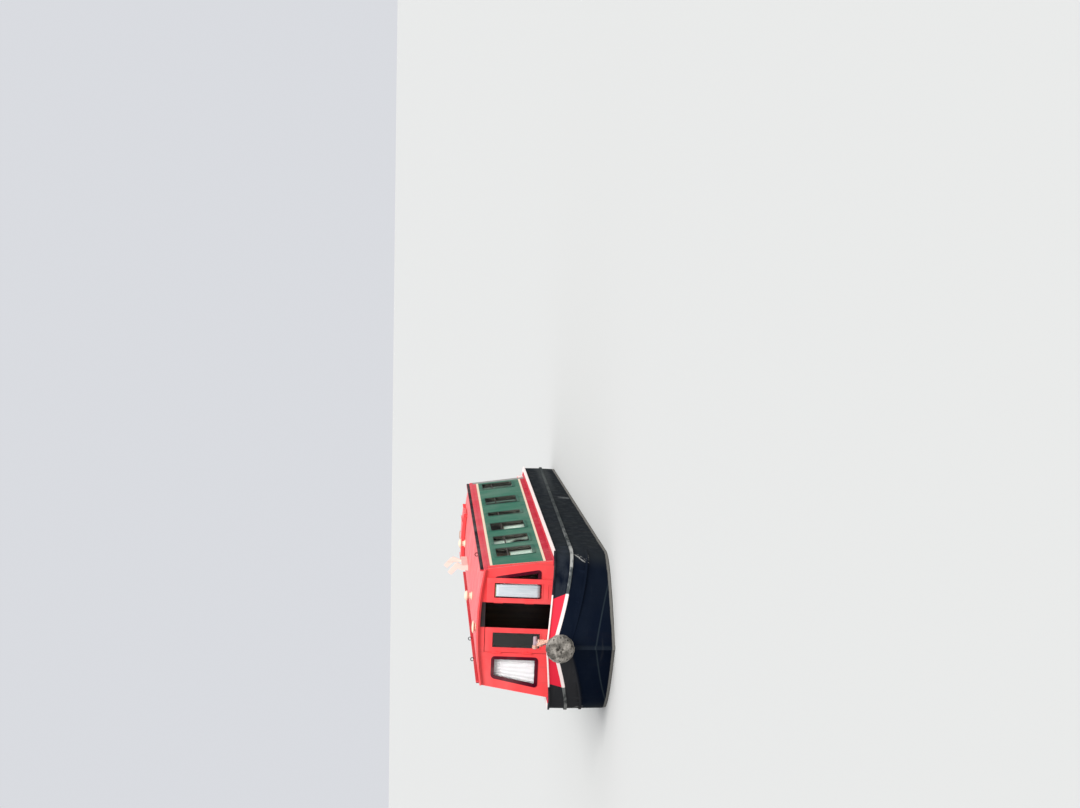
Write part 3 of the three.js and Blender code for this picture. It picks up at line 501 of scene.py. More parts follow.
roof_red = enamel("roof_red", roof_colours, 0.3, 0.28, 0.0015, 1.36)
roof = eased("roof", roof_red, 0.005, steepest=60)
roof.data.materials.append(enamel("roof_edge", roof_colours, 0.3, 0.2, 0.001, 1.015))
for face in roof.data.polygons:
    face.material_index = 1 if abs(face.normal.y) > 0.6 else 0


def rail_colours(tree, x, y, z):
    """The outer face is painted dark, and the top and inner face are red."""
    dark = above(tree, calc(tree, "ABSOLUTE", y), 0.735, 0.003)
    return over(tree, dark, (0.6, 0.06, 0.07, 1), (0.012, 0.006, 0.012, 1))


def wire_ring(bm, x, y, z, radius, wire):
    """A closed hoop of rod, standing across the boat."""
    spot = Matrix.Translation((x, y + radius, z)) @ Matrix.Rotation(math.pi / 2, 4, "Y")
    hoop = bmesh.ops.create_circle(bm, cap_ends=False, radius=wire, segments=8, matrix=spot)["verts"]
    edges = list({edge for corner in hoop for edge in corner.link_edges})
    bmesh.ops.spin(bm, geom=hoop + edges, cent=(x, y, z), axis=(1, 0, 0), angle=2 * math.pi, steps=20, use_merge=True)
    bmesh.ops.remove_doubles(bm, verts=bm.verts, dist=0.0003)
    bmesh.ops.recalc_face_normals(bm, faces=bm.faces)


rail_paint = enamel("rail_paint", rail_colours, 0.3, 0.15, 0.0, 1.02)
for word in ("port", "starboard"):
    eased(f"handrail_{word}", rail_paint, 0.007, steepest=60)
fixing_dark = enamel("fixing_dark", (0.02, 0.018, 0.02, 1), 0.4, 0.2, 0.0, 1.3)
for i, (x, y) in enumerate(((3.35, 0.716), (3.3, -0.716), (1.6, -0.716))):
    bm = bmesh.new()
    wire_ring(bm, x, y, 2.074, 0.022, 0.005)
    made(f"rail_eye_{i + 1}", bm, fixing_dark)

# Side windows
# Twelve frames with rounded corners, painted green outside. Each has a flange, a sleeve through the wall, a bar
# under its hopper light, and a pane.


def frame_colours(tree, x, y, z):
    """Green on the flange, and dull grey on the sleeve inside the wall."""
    sleeve = above(tree, side_depth(tree, y, z), -0.0002, 0.0003)
    return over(tree, sleeve, (0.035, 0.125, 0.088, 1), (0.055, 0.048, 0.042, 1))


window_green = enamel("window_green", frame_colours, 0.3, 0.15, 0.0, 1.015)


def gather(whole, part):
    """Adds one mesh to another and empties the first."""
    spare = bpy.data.meshes.new("spare")
    part.to_mesh(spare)
    part.free()
    whole.from_mesh(spare)
    bpy.data.meshes.remove(spare)


def placed(bm, matrix):
    bmesh.ops.transform(bm, matrix=matrix, verts=bm.verts)
    bmesh.ops.recalc_face_normals(bm, faces=bm.faces)
    return bm


def raised(bm, low, high):
    """Gives a flat outline its thickness."""
    bmesh.ops.translate(bm, vec=(0, 0, low), verts=bm.verts)
    top = bmesh.ops.extrude_face_region(bm, geom=bm.faces[:])["geom"]
    bmesh.ops.translate(bm, vec=(0, 0, high - low), verts=[v for v in top if isinstance(v, bmesh.types.BMVert)])
    bmesh.ops.recalc_face_normals(bm, faces=bm.faces)
    return bm


def outline(corners, grow, radius, segments=5):
    """A flat face with its straight sides moved out by grow and its corners rounded."""
    bm = bmesh.new()
    face = bm.faces.new([bm.verts.new((u, v, 0)) for u, v in corners])
    if grow < 0:
        inset = bmesh.ops.inset_region(bm, faces=[face], thickness=-grow, use_boundary=True, use_even_offset=True)
        bmesh.ops.delete(bm, geom=inset["faces"], context="FACES")
    else:
        moves = {}
        for i, corner in enumerate(face.verts):
            before = (corner.co - face.verts[i - 1].co).normalized()
            after = (face.verts[(i + 1) % len(face.verts)].co - corner.co).normalized()
            lean = before.cross(after).z
            moves[corner] = (before - after) * grow / lean
        for corner, move in moves.items():
            corner.co += move
    bmesh.ops.bevel(bm, geom=bm.verts[:], offset=radius, offset_type="OFFSET", segments=segments, profile=0.5,
                    affect="VERTICES", material=-1)
    return bm


def ring(corners, grow, radius, width, low, high, edge=0.0):
    """A flat frame of that width inside the outline, with its thickness."""
    bm = outline(corners, grow, radius)
    inset = bmesh.ops.inset_region(bm, faces=bm.faces[:], thickness=width, use_boundary=True, use_even_offset=True)
    bmesh.ops.delete(bm, geom=[f for f in bm.faces if f not in inset["faces"]], context="FACES_ONLY")
    raised(bm, low, high)
    return soften(bm, edge) if edge else bm


def block(u0, u1, v0, v1, low, high, edge=0.0, segments=2):
    bm = bmesh.new()
    centre = Vector(((u0 + u1) / 2, (v0 + v1) / 2, (low + high) / 2))
    sizes = Matrix.Diagonal((u1 - u0, v1 - v0, high - low, 1))
    bmesh.ops.create_cube(bm, size=1, matrix=Matrix.Translation(centre) @ sizes)
    return soften(bm, edge, segments=segments) if edge else bm


def rectangle(u0, u1, v0, v1):
    return [(u0, v0), (u1, v0), (u1, v1), (u0, v1)]


def clear_glass(name, tint, gloss, clear=1.0):
    """Clear panes with a faint smear. A lower clear lets more of what is behind show without its reflection."""
    constants = {"Base Color": tint, "Transmission Weight": 1.0, "IOR": gloss, "Alpha": clear}
    material, tree, shader, coords = new_paint(name, constants)
    tree.links.new(cloud(tree, coords, (5, 5, 3), 0.35, 0.75, 0.05), shader.inputs["Roughness"])
    return material


side_glass = clear_glass("side_glass", (0.88, 0.96, 0.92, 1), 1.004)
slope = math.atan(side_lean)
side_windows = [(3.625, 0.88), (2.365, 0.89), (0.88, 0.9), (-0.63, 0.5), (-2.295, 0.95), (-4.35, 0.86)]
sill, head = [(z - gunwale_top) / math.cos(slope) for z in (1.325, 1.845)]
both_sides = ((1, "port"), (-1, "starboard"))


def side_plane(side):
    """Along the boat, up the slope of the cabin's side, and out of it."""
    return Matrix((
        (1, 0, 0, 0),
        (0, -side * math.sin(slope), side * math.cos(slope), side * side_foot),
        (0, math.cos(slope), math.sin(slope), gunwale_top),
        (0, 0, 0, 1),
    ))


def window_frame(corners, radius, hopper=None):
    bm = ring(corners, 0.017, radius + 0.012, 0.041, 0.0004, 0.008, 0.0025)
    gather(bm, ring(corners, -0.0004, radius, 0.0236, -0.04, 0.0005))
    if hopper:
        u = [corner[0] for corner in corners]
        gather(bm, block(min(u) + 0.015, max(u) - 0.015, hopper - 0.009, hopper + 0.009, -0.02, -0.002, 0.003))
    return bm


def pane(corners, radius, low=-0.018, high=-0.01):
    return raised(outline(corners, -0.02, radius), low, high)


for side, word in both_sides:
    for i, (middle, width) in enumerate(side_windows):
        corners = rectangle(middle - width / 2, middle + width / 2, sill, head)
        node = f"window_{word}_{i + 1}"
        bar = sill + 0.66 * (head - sill)
        made(f"frame_{word}_{i + 1}", placed(window_frame(corners, 0.07, bar), side_plane(side)), window_green,
             stands_for=[node])
        made(f"glass_{word}_{i + 1}", placed(pane(corners, 0.058), side_plane(side)), side_glass)

# Front windows
# Two fixed lights that follow the slope of the cabin's sides, in frames of the same make, painted near-black red as
# the shade of their recesses.
front_plane = Matrix(((0, 0, 1, 5.0), (1, 0, 0, 0), (0, 1, 0, 0), (0, 0, 0, 1)))
front_light = [(0.39, 1.29), (0.75, 1.29), (0.643, 1.86), (0.39, 1.86)]
flip = Matrix.Diagonal((1, -1, 1, 1))
front_planes = {1: front_plane, -1: flip @ front_plane}
front_glass = clear_glass("front_glass", (0.98, 0.99, 0.985, 1), 1.15, 0.4)
leaf_glass = clear_glass("leaf_glass", (0.9, 0.92, 0.91, 1), 1.38)
shaded_maroon = enamel("shaded_maroon", (0.075, 0.004, 0.014, 1), 0.35, 0.1, 0.0, 1.1)
for side, word in both_sides:
    turn = front_planes[side]
    made(f"front_frame_{word}", placed(window_frame(front_light, 0.034), turn), shaded_maroon,
         stands_for=[f"front_window_{word}"])
    made(f"front_glass_{word}", placed(pane(front_light, 0.015), turn), front_glass)

# Curtains
# Light cotton, gathered on thin brass rods behind the panes. At the sides they cover the lower half, are tied back,
# or hang in pairs, and at the front they hang behind the lights and the leaf's pane.


def cotton(name, light, shade):
    constants = {"Roughness": 0.95, "Sheen Weight": 0.3, "Specular IOR Level": 0.2}
    material, tree, shader, coords = new_paint(name, constants)
    # The cloth's tone runs from light to shade in tall patches, a painted shade of its folds.
    base = over(tree, cloud(tree, coords, (5, 5, 2), 0.35, 0.7), light, shade)
    tree.links.new(base, shader.inputs["Base Color"])
    weave = put(tree, "TexWave", {"Vector": coords, "Scale": 260.0, "Distortion": 1.0}, bands_direction="Z")
    warp = put(tree, "TexWave", {"Vector": coords, "Scale": 260.0, "Distortion": 1.0}, bands_direction="X")
    bumped(tree, shader, (plus(tree, weave.outputs[1], warp.outputs[1]), 0.0003))
    return material


rod_depth = 0.068
cloth_foot, cloth_top = sill - 0.02, head + 0.02
curtain_cotton = cotton("curtain_cotton", (0.84, 0.86, 0.78, 1), (0.68, 0.74, 0.65, 1))
dull_cotton = cotton("dull_cotton", (0.16, 0.22, 0.18, 1), (0.08, 0.12, 0.1, 1))
front_cotton = cotton("front_cotton", (0.98, 0.99, 0.99, 1), (0.88, 0.92, 0.91, 1))
leaf_cotton = cotton("leaf_cotton", (0.62, 0.68, 0.7, 1), (0.46, 0.55, 0.58, 1))


def metal(name, colour, roughness, dirt):
    material = enamel(name, colour, roughness, dirt, 0.0, 1.5)
    material.node_tree.nodes["Principled BSDF"].inputs["Metallic"].default_value = 0.9
    return material


brass = metal("brass", (0.62, 0.44, 0.17, 1), 0.28, 0.1)


def tube(points, radius, sides=10):
    """A round bar along points, closed at its ends."""
    bm = bmesh.new()
    rings = []
    for i, point in enumerate(points):
        point = Vector(point)
        along = (Vector(points[min(i + 1, len(points) - 1)]) - Vector(points[max(i - 1, 0)])).normalized()
        size = radius[i] if isinstance(radius, (list, tuple)) else radius
        spot = Matrix.Translation(point) @ along.to_track_quat("Z", "Y").to_matrix().to_4x4()
        rings.append(bmesh.ops.create_circle(bm, cap_ends=False, radius=size, segments=sides, matrix=spot)["verts"])
    for low, high in zip(rings, rings[1:]):
        edges = [edge for edge in bm.edges if all(v in low for v in edge.verts) or all(v in high for v in edge.verts)]
        bmesh.ops.bridge_loops(bm, edges=edges)
    for end in (rings[0], rings[-1]):
        bm.faces.new(end)
    bmesh.ops.recalc_face_normals(bm, faces=bm.faces)
    return bm


def curtain(name, left, right, low, high, folds, depth, plane, tuck=0.0, wave=0.009, body="hull",
            cloth=curtain_cotton):
    """left and right give the cloth's two edges, as functions of its height from 0 to 1. The length of each row of
    folds is summed, and nothing uses it."""
    bm = bmesh.new()
    bmesh.ops.create_grid(bm, x_segments=folds * 8, y_segments=12, size=0.5)
    heights = {point: round(point.co.y, 3) for point in bm.verts}
    for point in bm.verts:
        s, t = point.co.x + 0.5, point.co.y + 0.5
        drawn_in = 1 - tuck * math.exp(-((t - 0.4) / 0.25) ** 2)
        u0, u1 = left(t), right(t)
        swing = 2 * math.pi * folds * (s + 0.03 * math.sin(5 * s + 2 * t))
        depth_here = depth + wave * (0.65 + 0.35 * math.sin(7 * s + 1.3)) * math.sin(swing) * (1 - 0.45 * t)
        point.co = (u0 + (u1 - u0) * (s * drawn_in), low + (high - low) * t, -depth_here)
    placed(bm, plane)
    rows = {}
    for edge in bm.edges:
        row, other = [heights[point] for point in edge.verts]
        if row == other:
            rows[row] = rows.get(row, 0) + edge.calc_length()
    piece = made(name, bm, cloth, body, sharp=80)
    thickness = piece.modifiers.new("thickness", "SOLIDIFY")
    thickness.thickness = 0.0008
    return piece


def curtain_rod(name, u0, u1, v, depth, plane, body="hull"):
    ends = [plane @ Vector((u, v, -depth)) for u in (u0, (u0 + u1) / 2, u1)]
    made(f"{name}_rod", tube(ends, 0.004), brass, body)


def edge_at(value, lean=0.0):
    return lambda t: value + lean * t


def swept(low, high):
    """An edge that is tied back below the middle and runs out to the far side at the rod."""
    return lambda t: low + (high - low) * min(1.0, max(0.0, (t - 0.38) / 0.32)) ** 1.2


for side, word in both_sides:
    for i, (middle, width) in enumerate(side_windows):
        u0, u1 = middle - width / 2 + 0.01, middle + width / 2 - 0.01
        plane = side_plane(side)
        name = f"curtain_{word}_{i + 1}"
        if i in (0, 2):
            top = sill + 0.6 * (head - sill)
            curtain_rod(name, u0 - 0.13, u1 + 0.03, top, rod_depth, plane)
            curtain(name, edge_at(u0 - 0.1), edge_at(u1), cloth_foot, top, 10, rod_depth, plane)
        elif i == 1:
            curtain_rod(name, u0 - 0.4, u1 + 0.03, cloth_top, rod_depth, plane)
            curtain(name, swept(u0 - 0.33, u0 - 0.37), swept(u0 + 0.03, u1), cloth_foot, cloth_top, 13, 0.072, plane,
                    wave=0.014)
        else:
            for end, word_end in ((0, "aft"), (1, "fore")):
                part = f"{name}_{word_end}"
                a, b = (u0, u0 + 0.2 * width) if end == 0 else (u1 - 0.2 * width, u1)
                curtain_rod(part, a - 0.02, b + 0.02, cloth_top, rod_depth, plane)
                curtain(part, edge_at(a), edge_at(b), cloth_foot, cloth_top, 4, rod_depth, plane,
                        0.25 if end == 0 else 0.0, cloth=dull_cotton)

for side, word in both_sides:
    turn = front_planes[side]
    name = f"curtain_front_{word}"
    curtain_rod(name, 0.38, 0.655, 1.862, 0.062, turn)
    if side > 0:
        curtain(name, edge_at(0.385), edge_at(0.6), 1.28, 1.862, 5, 0.062, turn, cloth=front_cotton)
    else:
        curtain(name, edge_at(0.385), edge_at(0.757, -0.105), 1.28, 1.862, 7, 0.062, turn, cloth=front_cotton)

# Partitions
# Two dark ply partitions across the cabin, each with a hardwood post at its free edge and the corridor beside it. They
# are dark sheets that stand in for the shade inside the cabin.
partition_shade_ply = ply("partition_shade_ply", (0.045, 0.026, 0.016, 1), (0.07, 0.042, 0.024, 1), 0.35, (22, 22, 1.2))
post_wood = ply("post_wood", (0.06, 0.028, 0.014, 1), (0.1, 0.05, 0.024, 1), 0.3, (30, 30, 1.5))
free_edge, floor_top = -0.13, 0.152
for name, x, side in (("front_partition", 2.95, -1), ("rear_partition", -3.45, 1)):
    across_plane = Matrix.Translation((x - 5.0, 0, 0)) @ front_planes[side]
    under = [(u, 2.034 - camber * (u / roof_half) ** 2) for u in (0.7, 0.5, 0.3, 0.12, free_edge)]
    corners = [(free_edge, floor_top), (0.83, floor_top), (0.83, 1.11)] + under
    board = raised(outline(corners, 0.0, 0.001, 1), -0.0125, 0.0125)
    made(name, placed(soften(board, 0.001), across_plane), partition_shade_ply)
    post = block(free_edge - 0.03, free_edge + 0.0005, floor_top, 2.02, -0.019, 0.019, 0.006, 3)
    made(f"{name}_post", placed(post, across_plane), post_wood)

# Front doors
# Two steel leaves with a light in each, hung on three hinges. The port one is stored folded right back, so that
# its inner face and its curtain show.


def pierced(us, vs, low, high):
    """A plate with its middle left open."""
    bm = bmesh.new()
    grid = [[bm.verts.new((u, v, 0)) for v in vs] for u in us]
    for i in range(3):
        for j in range(3):
            if (i, j) != (1, 1):
                bm.faces.new([grid[i][j], grid[i + 1][j], grid[i + 1][j + 1], grid[i][j + 1]])
    return raised(bm, low, high)


def hinges(face, out, hinge, low, high):
    """Three knuckles with their plates, beside the pin at y = hinge on the face that looks the way of out."""
    whole = bmesh.new()
    for share in (0.14, 0.5, 0.86):
        middle = low + share * (high - low)
        gather(whole, tube([(face + out * 0.009, hinge, middle + z) for z in (0.0005, 0.03, 0.0598)], 0.0085, 16))
        plate_ends = sorted((face - out * 0.001, face + out * 0.006))
        gather(whole, block(*plate_ends, hinge - 0.026, hinge, middle + 0.0005, middle + 0.0598, 0.0015))
    return whole


def front_leaf():
    """The port leaf closed, with beads round its light and round a flat panel below, on both faces."""
    bm = soften(pierced([0.0025, 0.065, 0.258, 0.32], [0.865, 1.26, 1.87, 1.968], -0.03, 0), 0.002)
    light = rectangle(0.065, 0.258, 1.26, 1.87)
    lower = rectangle(0.06, 0.262, 0.93, 1.19)
    for low, high in ((0, 0.004), (-0.034, -0.03)):
        gather(bm, ring(light, 0.016, 0.022, 0.016, low, high, 0.0015))
        gather(bm, ring(lower, 0, 0.018, 0.012, low, high, 0.0012))
    placed(bm, front_plane)
    gather(bm, hinges(5.0, 1, 0.325, 0.865, 1.968))
    return bm


def folded(x, y):
    """Half a turn about the pin."""
    return Matrix.Translation((x, y, 0)) @ Matrix.Rotation(math.pi, 4, "Z") @ Matrix.Translation((-x, -y, 0))


port_fold = folded(5.009, 0.325)
leaf_light = rectangle(0.045, 0.278, 1.24, 1.89)
for word, turn, glass in (("port", port_fold, front_glass), ("starboard", flip, leaf_glass)):
    body = f"front_leaf_{word}"
    made(f"front_leaf_{word}_plate", placed(front_leaf(), turn), cabin_red, body,
         stands_for=[f"front_door_{word}"])
    made(f"front_leaf_{word}_glass", placed(pane(leaf_light, 0.002, -0.018, -0.012), turn @ front_plane), glass,
         body)
    # The bead round each leaf's light is painted the same near-black red, as painted shade.
    bead = ring(leaf_light, -0.02, 0.012, 0.008, -0.0285, -0.0185, 0.0015)
    made(f"front_leaf_{word}_bead", placed(bead, turn @ front_plane), shaded_maroon, body)
curtain_rod("curtain_leaf", 0.074, 0.249, 1.855, 0.0245, port_fold @ front_plane, "front_leaf_port")
curtain("curtain_leaf", edge_at(0.082, 0.004), edge_at(0.241, -0.004), 1.285, 1.855, 6, 0.0235,
        port_fold @ front_plane, 0.0, 0.0028, "front_leaf_port", leaf_cotton)

# Rear doors
# Two plain steel leaves with raised panels, both stored folded back against the bulkhead.
rear_plane = Matrix(((0, 0, -1, -5.18), (1, 0, 0, 0), (0, 1, 0, 0), (0, 0, 0, 1)))
rear_fold = folded(-5.189, 0.345)
for word, turn in (("port", rear_fold), ("starboard", flip @ rear_fold)):
    leaf = block(0.0025, 0.34, 1.22, 2.0, -0.03, 0, 0.003)
    for low, high in ((0, 0.004), (-0.034, -0.03)):
        for foot, top in ((1.28, 1.56), (1.62, 1.94)):
            gather(leaf, ring(rectangle(0.05, 0.295, foot, top), 0, 0.02, 0.014, low, high, 0.0015))
    placed(leaf, rear_plane)
    gather(leaf, hinges(-5.18, -1, 0.345, 1.22, 1.94))
    made(f"rear_leaf_{word}_plate", placed(leaf, turn), cabin_red, f"rear_leaf_{word}",
         stands_for=[f"rear_door_{word}"])

# Fenders
# Rope fenders woven over a packed core: strands run round the button both ways, over and under each other, and a
# crown knot closes the face.


def cordage(name, dark, light, grain=26):
    """Weathered rope, with dirt in patches and fibres across it."""
    material, tree, shader, coords = new_paint(name, {"Roughness": 0.95, "Specular IOR Level": 0.15})
    base = over(tree, cloud(tree, coords, (grain, grain, grain), 0.36, 0.62), dark, light)
    base = over(tree, cloud(tree, coords, (6, 7, 11), 0.48, 0.66, 0.6), base, dark)
    tree.links.new(base, shader.inputs["Base Color"])
    fibre = put(tree, "TexWave", {"Vector": coords, "Scale": 45.0, "Distortion": 6.0, "Detail": 2.0},
                bands_direction="DIAGONAL")
    bumped(tree, shader, (fibre.outputs[1], 0.0025), (cloud(tree, coords, (160, 160, 160), 0.3, 0.7), 0.001))
    return material


rope_grey = cordage("weathered_rope", (0.1, 0.092, 0.08, 1), (0.37, 0.34, 0.3, 1), 10)
# The core's rope is painted dark, as the shade in the gaps between the strands.
rope_gap_shade = cordage("core_gap_shade", (0.035, 0.031, 0.027, 1), (0.1, 0.092, 0.08, 1), 10)
strand_radius = 0.0155
BUTTON = [(0.0, 0.0), (0.78, 0.0), (0.97, 0.28), (1.0, 0.5), (0.97, 0.72), (0.78, 0.94), (0.45, 1.0), (0.0, 1.0)]


def button_point(share, radius, length):
    """Across the button's profile, from the rim at its back, at 0, to its crown, at 1."""
    place = 1 + share * 5.4
    i = min(int(place), 6)
    part = place - i
    (r0, s0), (r1, s1) = BUTTON[i], BUTTON[i + 1]
    return (r0 + part * (r1 - r0)) * radius, (s0 + part * (s1 - s0)) * length


def rope_button(name, back, out, z, radius, length, strands=10):
    """A button that stands off x = back, the way of out: its core, doubled strands both ways, and its crown."""
    core = bmesh.new()
    profile = [core.verts.new((back + out * s * (length - 0.016) + out * 0.006, 0, z + r * (radius - 0.014)))
               for r, s in BUTTON]
    lines = [core.edges.new(pair) for pair in zip(profile, profile[1:])]
    bmesh.ops.spin(core, geom=profile + lines, cent=(back, 0, z), axis=(1, 0, 0), angle=2 * math.pi, steps=32,
                   use_merge=True)
    bmesh.ops.remove_doubles(core, verts=core.verts, dist=0.0005)
    bmesh.ops.recalc_face_normals(core, faces=core.faces)
    packed = len(core.faces)
    for way in (1, -1):
        for strand in range(strands):
            for pair in (-0.5, 0.5):
                points = []
                for i in range(23):
                    share = i / 22
                    r, s = button_point(share, radius - 0.02, length - 0.02)
                    turn = 2 * math.pi * (strand + 0.34 * pair) / strands + way * 1.5 * share
                    r += 0.006 * math.sin(way * strands * turn * 0.5 + math.pi * strand)
                    points.append((back + out * (0.006 + s), r * math.cos(turn), z + r * math.sin(turn)))
                gather(core, tube(points, strand_radius, 8))
    reach = 0.36 * radius
    for k in range(-1, 2):
        for j in (0, 1):
            points = []
            for i in range(-6, 7):
                along, side = reach * i / 6, 0.62 * reach * k
                over_under = 0.006 * math.cos(math.pi * (i / 2.4 + k + j)) + 0.004 * (1 - abs(i) / 6)
                spot = (along, side) if j else (side, along)
                turned = Vector(spot) @ Matrix.Rotation(0.6, 2)
                points.append((back + out * (length - 0.0245 + over_under), turned.x, z + turned.y))
            gather(core, tube(points, strand_radius, 8))
    piece = made(name, core, rope_grey, stands_for=[name.replace("_rope", "")], sharp=180)
    # The core shows only between the strands, and is painted dark as the shade in those gaps.
    piece.data.materials.append(rope_gap_shade)
    for face in piece.data.polygons[:packed]:
        face.material_index = 1
    return piece


rope_button("bow_fender_rope", 6.4103, 1, 1.078, 0.18, 0.1797)
rope_button("stern_fender_rope", -6.2243, -1, 1.03, 0.14, 0.17, 8)

# Mushroom ventilators
# Cast brass domes, painted cream, that screw down over a flanged tube.


def spun(profile, x, y, z, steps=32):
    """A turned shape about an upright axis, from its radius and height at each step."""
    bm = bmesh.new()
    line = [bm.verts.new((x + r, y, z + h)) for r, h in profile]
    bmesh.ops.spin(bm, geom=line + [bm.edges.new(pair) for pair in zip(line, line[1:])], cent=(x, y, z),
                   axis=(0, 0, 1), angle=2 * math.pi, steps=steps, use_merge=True)
    bmesh.ops.remove_doubles(bm, verts=bm.verts, dist=0.0002)
    bmesh.ops.recalc_face_normals(bm, faces=bm.faces)
    return bm


cream_gloss = enamel("cream_gloss", CREAM, 0.3)
for i, (x, y, cap, high, dome) in enumerate(((4.7, -0.05, 0.08, 0.052, 0.026), (2.3, 0, 0.068, 0.11, 0.045),
                                             (-3.24, 0, 0.068, 0.11, 0.045))):
    under = high - dome
    profile = [(0, 0), (0.06, 0), (0.06, 0.009), (0.056, 0.012), (0.046, 0.014), (0.042, 0.02), (0.042, under),
               (cap - 0.012, under), (cap - 0.003, under - 0.001), (cap, under + 0.003), (cap, under + 0.27 * dome)]
    for k in range(1, 9):
        turn = math.pi / 2 * k / 8
        profile.append((cap * math.cos(turn), under + (0.27 + 0.73 * math.sin(turn)) * dome))
    profile[-1] = (0, high)
    made(f"ventilator_{i + 1}", spun(profile, x, y, 2.0853), cream_gloss,
         stands_for=[f"mushroom_vent_{i + 1}"])

# Stud and dollies
# A T stud on the foredeck, with a pale line turned round it and lashed down to the fender, and two turned bollards
# on the counter.
stud_grey = enamel("stud_grey", (0.4, 0.29, 0.32, 1), 0.4, 0.3, 0.0, 1.2)
stud = spun([(0, 0), (0.06, 0), (0.06, 0.008), (0.055, 0.012), (0.034, 0.016), (0.028, 0.026), (0.026, 0.05),
             (0.026, 0.25), (0, 0.25)], 6.1, 0, 1.1153, 24)
gather(stud, tube([(6.1, y, 1.3732) for y in (-0.08, -0.077, -0.07, 0.07, 0.077, 0.08)],
                  [0.017, 0.022, 0.0245, 0.0245, 0.022, 0.017], 20))
made("t_stud_shape", stud, stud_grey, stands_for=["t_stud"])


def laid(bm, path, radius, twist):
    """Three strands laid round a path."""
    path = [Vector(point) for point in path]
    for strand in range(3):
        points = []
        for i, point in enumerate(path):
            along = (path[min(i + 1, len(path) - 1)] - path[max(i - 1, 0)]).normalized()
            side = along.orthogonal().normalized()
            turn = 2 * math.pi * (strand / 3 + twist * i)
            points.append(point + 0.55 * radius * (math.cos(turn) * side + math.sin(turn) * along.cross(side)))
        gather(bm, tube(points, 0.55 * radius, 6))
    return bm


def stepped(points, count):
    """The same line, cut into even short lengths."""
    steps = []
    for a, b in zip(points, points[1:]):
        steps += [Vector(a).lerp(Vector(b), k / count) for k in range(count)]
    return steps + [Vector(points[-1])]


pale_rope = cordage("pale_rope", (0.72, 0.36, 0.28, 1), (0.95, 0.66, 0.5, 1))
turns = [(6.1 + 0.038 * math.cos(0.5 * k), 0.038 * math.sin(0.5 * k), 1.262 + 0.0017 * k) for k in range(50)]
lashing = laid(bmesh.new(), turns, 0.011, 0.09)
for shift in (0.0, 0.021):
    loop = [(6.1 + 0.037 * math.cos(0.45 * k), -0.04 - shift, 1.3732 + 0.0255 * math.sin(0.45 * k)) for k in range(15)]
    laid(lashing, loop, 0.0095, 0.09)
    down = [(6.135, -0.03 + shift, 1.345), (6.22, 0.005 + shift, 1.305), (6.32, 0.035 + shift, 1.277),
            (6.4, 0.055 + shift, 1.266), (6.43, 0.068 + shift, 1.24), (6.44, 0.075 + shift, 1.2)]
    laid(lashing, stepped(down, 4), 0.0105, 0.11)
made("stud_lashing", lashing, pale_rope, sharp=180)
for side, word in both_sides:
    profile = [(0, 0), (0.05, 0), (0.05, 0.008), (0.046, 0.011), (0.034, 0.014), (0.03, 0.03), (0.029, 0.09),
               (0.034, 0.115), (0.045, 0.128), (0.048, 0.136), (0.045, 0.144), (0.03, 0.15), (0, 0.1517)]
    made(f"dolly_{word}", spun(profile, -5.8, side * 0.56, 1.1303, 28), hull_black,
         stands_for=[f"stern_dolly_{word}"])

# Rudder and tiller
# The rudder is black plate with flat bars across it. The tiller is a red swan neck with a brass arm, a ferrule and a
# turned wooden grip.
eased("tiller_neck", cabin_red, 0, "steering", sharp=40)
eased("tiller_arm", brass, 0.003, "steering", sharp=40)
ferrule = tube([(-5.722, 0, 2.0235), (-5.719, 0, 2.024), (-5.681, 0, 2.0305), (-5.678, 0, 2.031)],
               [0.021, 0.0245, 0.0245, 0.021], 20)
made("tiller_ferrule", ferrule, brass, "steering")
grip = [(0.0, 0.0172), (0.006, 0.021), (0.02, 0.0185), (0.07, 0.0215), (0.12, 0.0225), (0.145, 0.021), (0.155, 0.015),
        (0.159, 0.006)]
grip = tube([(-5.389 + 0.99 * s, 0, 2.074 + 0.1405 * s) for s, r in grip], [r for s, r in grip], 20)
made("tiller_grip", grip, post_wood, "steering", sharp=60)
eased("rudder", hull_black, 0.003, "steering")
bars = bmesh.new()
for side in (1, -1):
    for height in (0.19, 0.42):
        ends = sorted((side * 0.0078, side * 0.0145))
        gather(bars, block(-6.54, -6.05, *ends, height - 0.016, height + 0.016, 0.002))
made("rudder_bars", bars, hull_black, "steering")

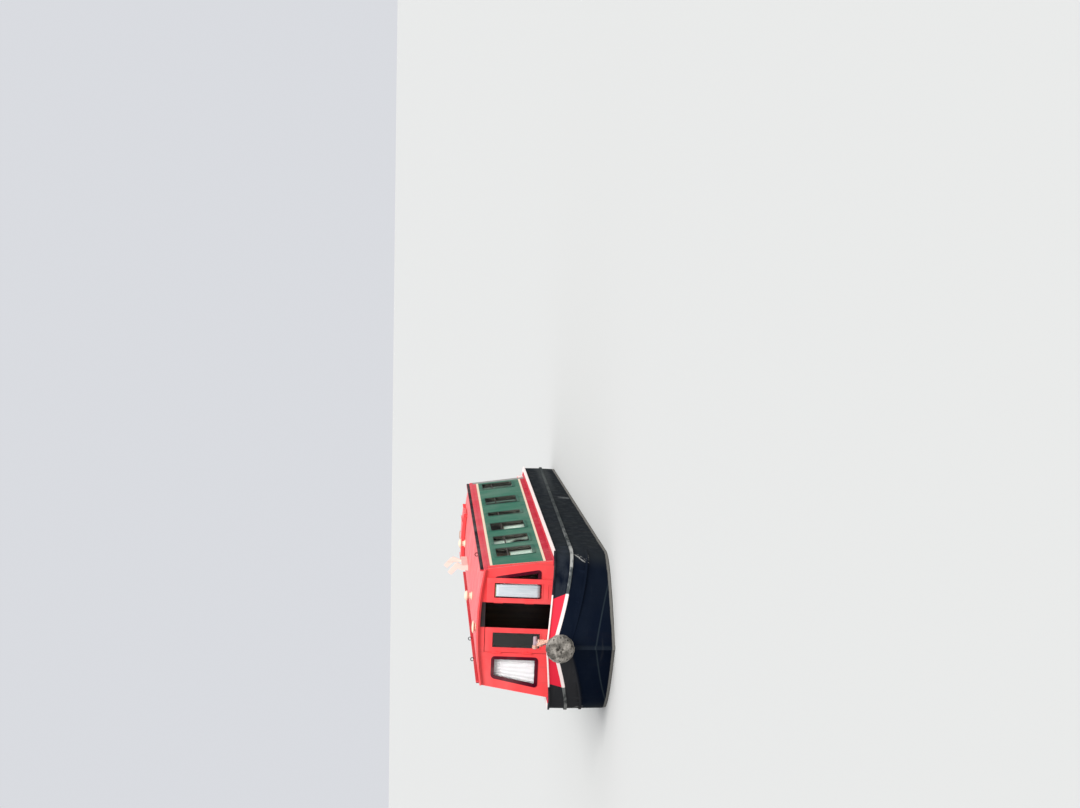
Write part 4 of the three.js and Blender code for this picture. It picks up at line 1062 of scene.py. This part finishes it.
# Propeller
# Three twisted blades of cast bronze on a hub, on the shaft that runs in through the swim.
bronze = metal("bronze", (0.4, 0.24, 0.1, 1), 0.4, 0.3)
shaft_height = 0.3
screw = bmesh.new()
hub = [(-5.3, 0.018), (-5.744, 0.018), (-5.7445, 0.036), (-5.75, 0.042), (-5.835, 0.042), (-5.845, 0.038),
       (-5.852, 0.028), (-5.855, 0.014)]
gather(screw, tube([(x, 0, shaft_height) for x, r in hub], [r for x, r in hub], 32))
for i in range(3):
    blade = bmesh.new()
    for face in (1, -1):
        sheet = bmesh.new()
        bmesh.ops.create_grid(sheet, x_segments=14, y_segments=16, size=0.5)
        for point in sheet.verts:
            s, t = 2 * point.co.x, point.co.y + 0.5
            r = 0.034 + 0.1795 * t
            root = 0.036 + 0.04 * math.sin(math.pi / 2 * (t / 0.5)) if t < 0.5 else 0.0
            tip = 0.08 * math.sqrt(max(0.0, 1 - ((r - 0.1235) / 0.0905) ** 2)) if t > 0.35 else 0.0
            chord = max(root, tip)
            pitch = math.atan(0.075 / r)
            thick = face * (0.0075 - 0.0045 * t) * (1 - s * s) * (1 if t < 0.99 else 0)
            along = Vector((math.sin(pitch), -math.cos(pitch), 0))
            out = Vector((math.cos(pitch), math.sin(pitch), 0))
            point.co = along * (s * chord) + out * thick + Vector((0, 0, r))
        gather(blade, sheet)
    bmesh.ops.remove_doubles(blade, verts=blade.verts, dist=0.0003)
    bmesh.ops.holes_fill(blade, edges=[edge for edge in blade.edges if edge.is_boundary])
    turn = Matrix.Rotation(i * 2 * math.pi / 3 + math.pi / 2, 4, "X")
    gather(screw, placed(blade, Matrix.Translation((-5.8, 0, shaft_height)) @ turn))
made("propeller_shape", screw, bronze, "screw", stands_for=["propeller"], sharp=40)

# Engine and pole rack
# The engine is a plain painted block on its bearers. The rack is painted wood, screwed to the roof.
eased("engine", enamel("engine_green", (0.05, 0.08, 0.06, 1), 0.45), 0.012)
eased("pole_rack", enamel("rack_cream", (0.84, 0.72, 0.62, 1), 0.4), 0.004)

# Sliding hatch
# A red steel cover on the roof's two slides, with two strips and a brass pull on top.
eased("sliding_hatch", cabin_red, 0.005, "hatch")
for side, word in both_sides:
    strip = block(-4.39, -3.63, side * 0.3 - 0.012, side * 0.3 + 0.012, 2.138, 2.147, 0.002)
    made(f"hatch_strip_{word}", strip, cabin_red, "hatch")
pull = [(-0.06, 0), (-0.058, 0.014), (-0.05, 0.02), (0.05, 0.02), (0.058, 0.014), (0.06, 0)]
pull = tube([(-4.33, y, 2.1385 + lift) for y, lift in pull], 0.0045, 10)
made("hatch_pull", pull, brass, "hatch")
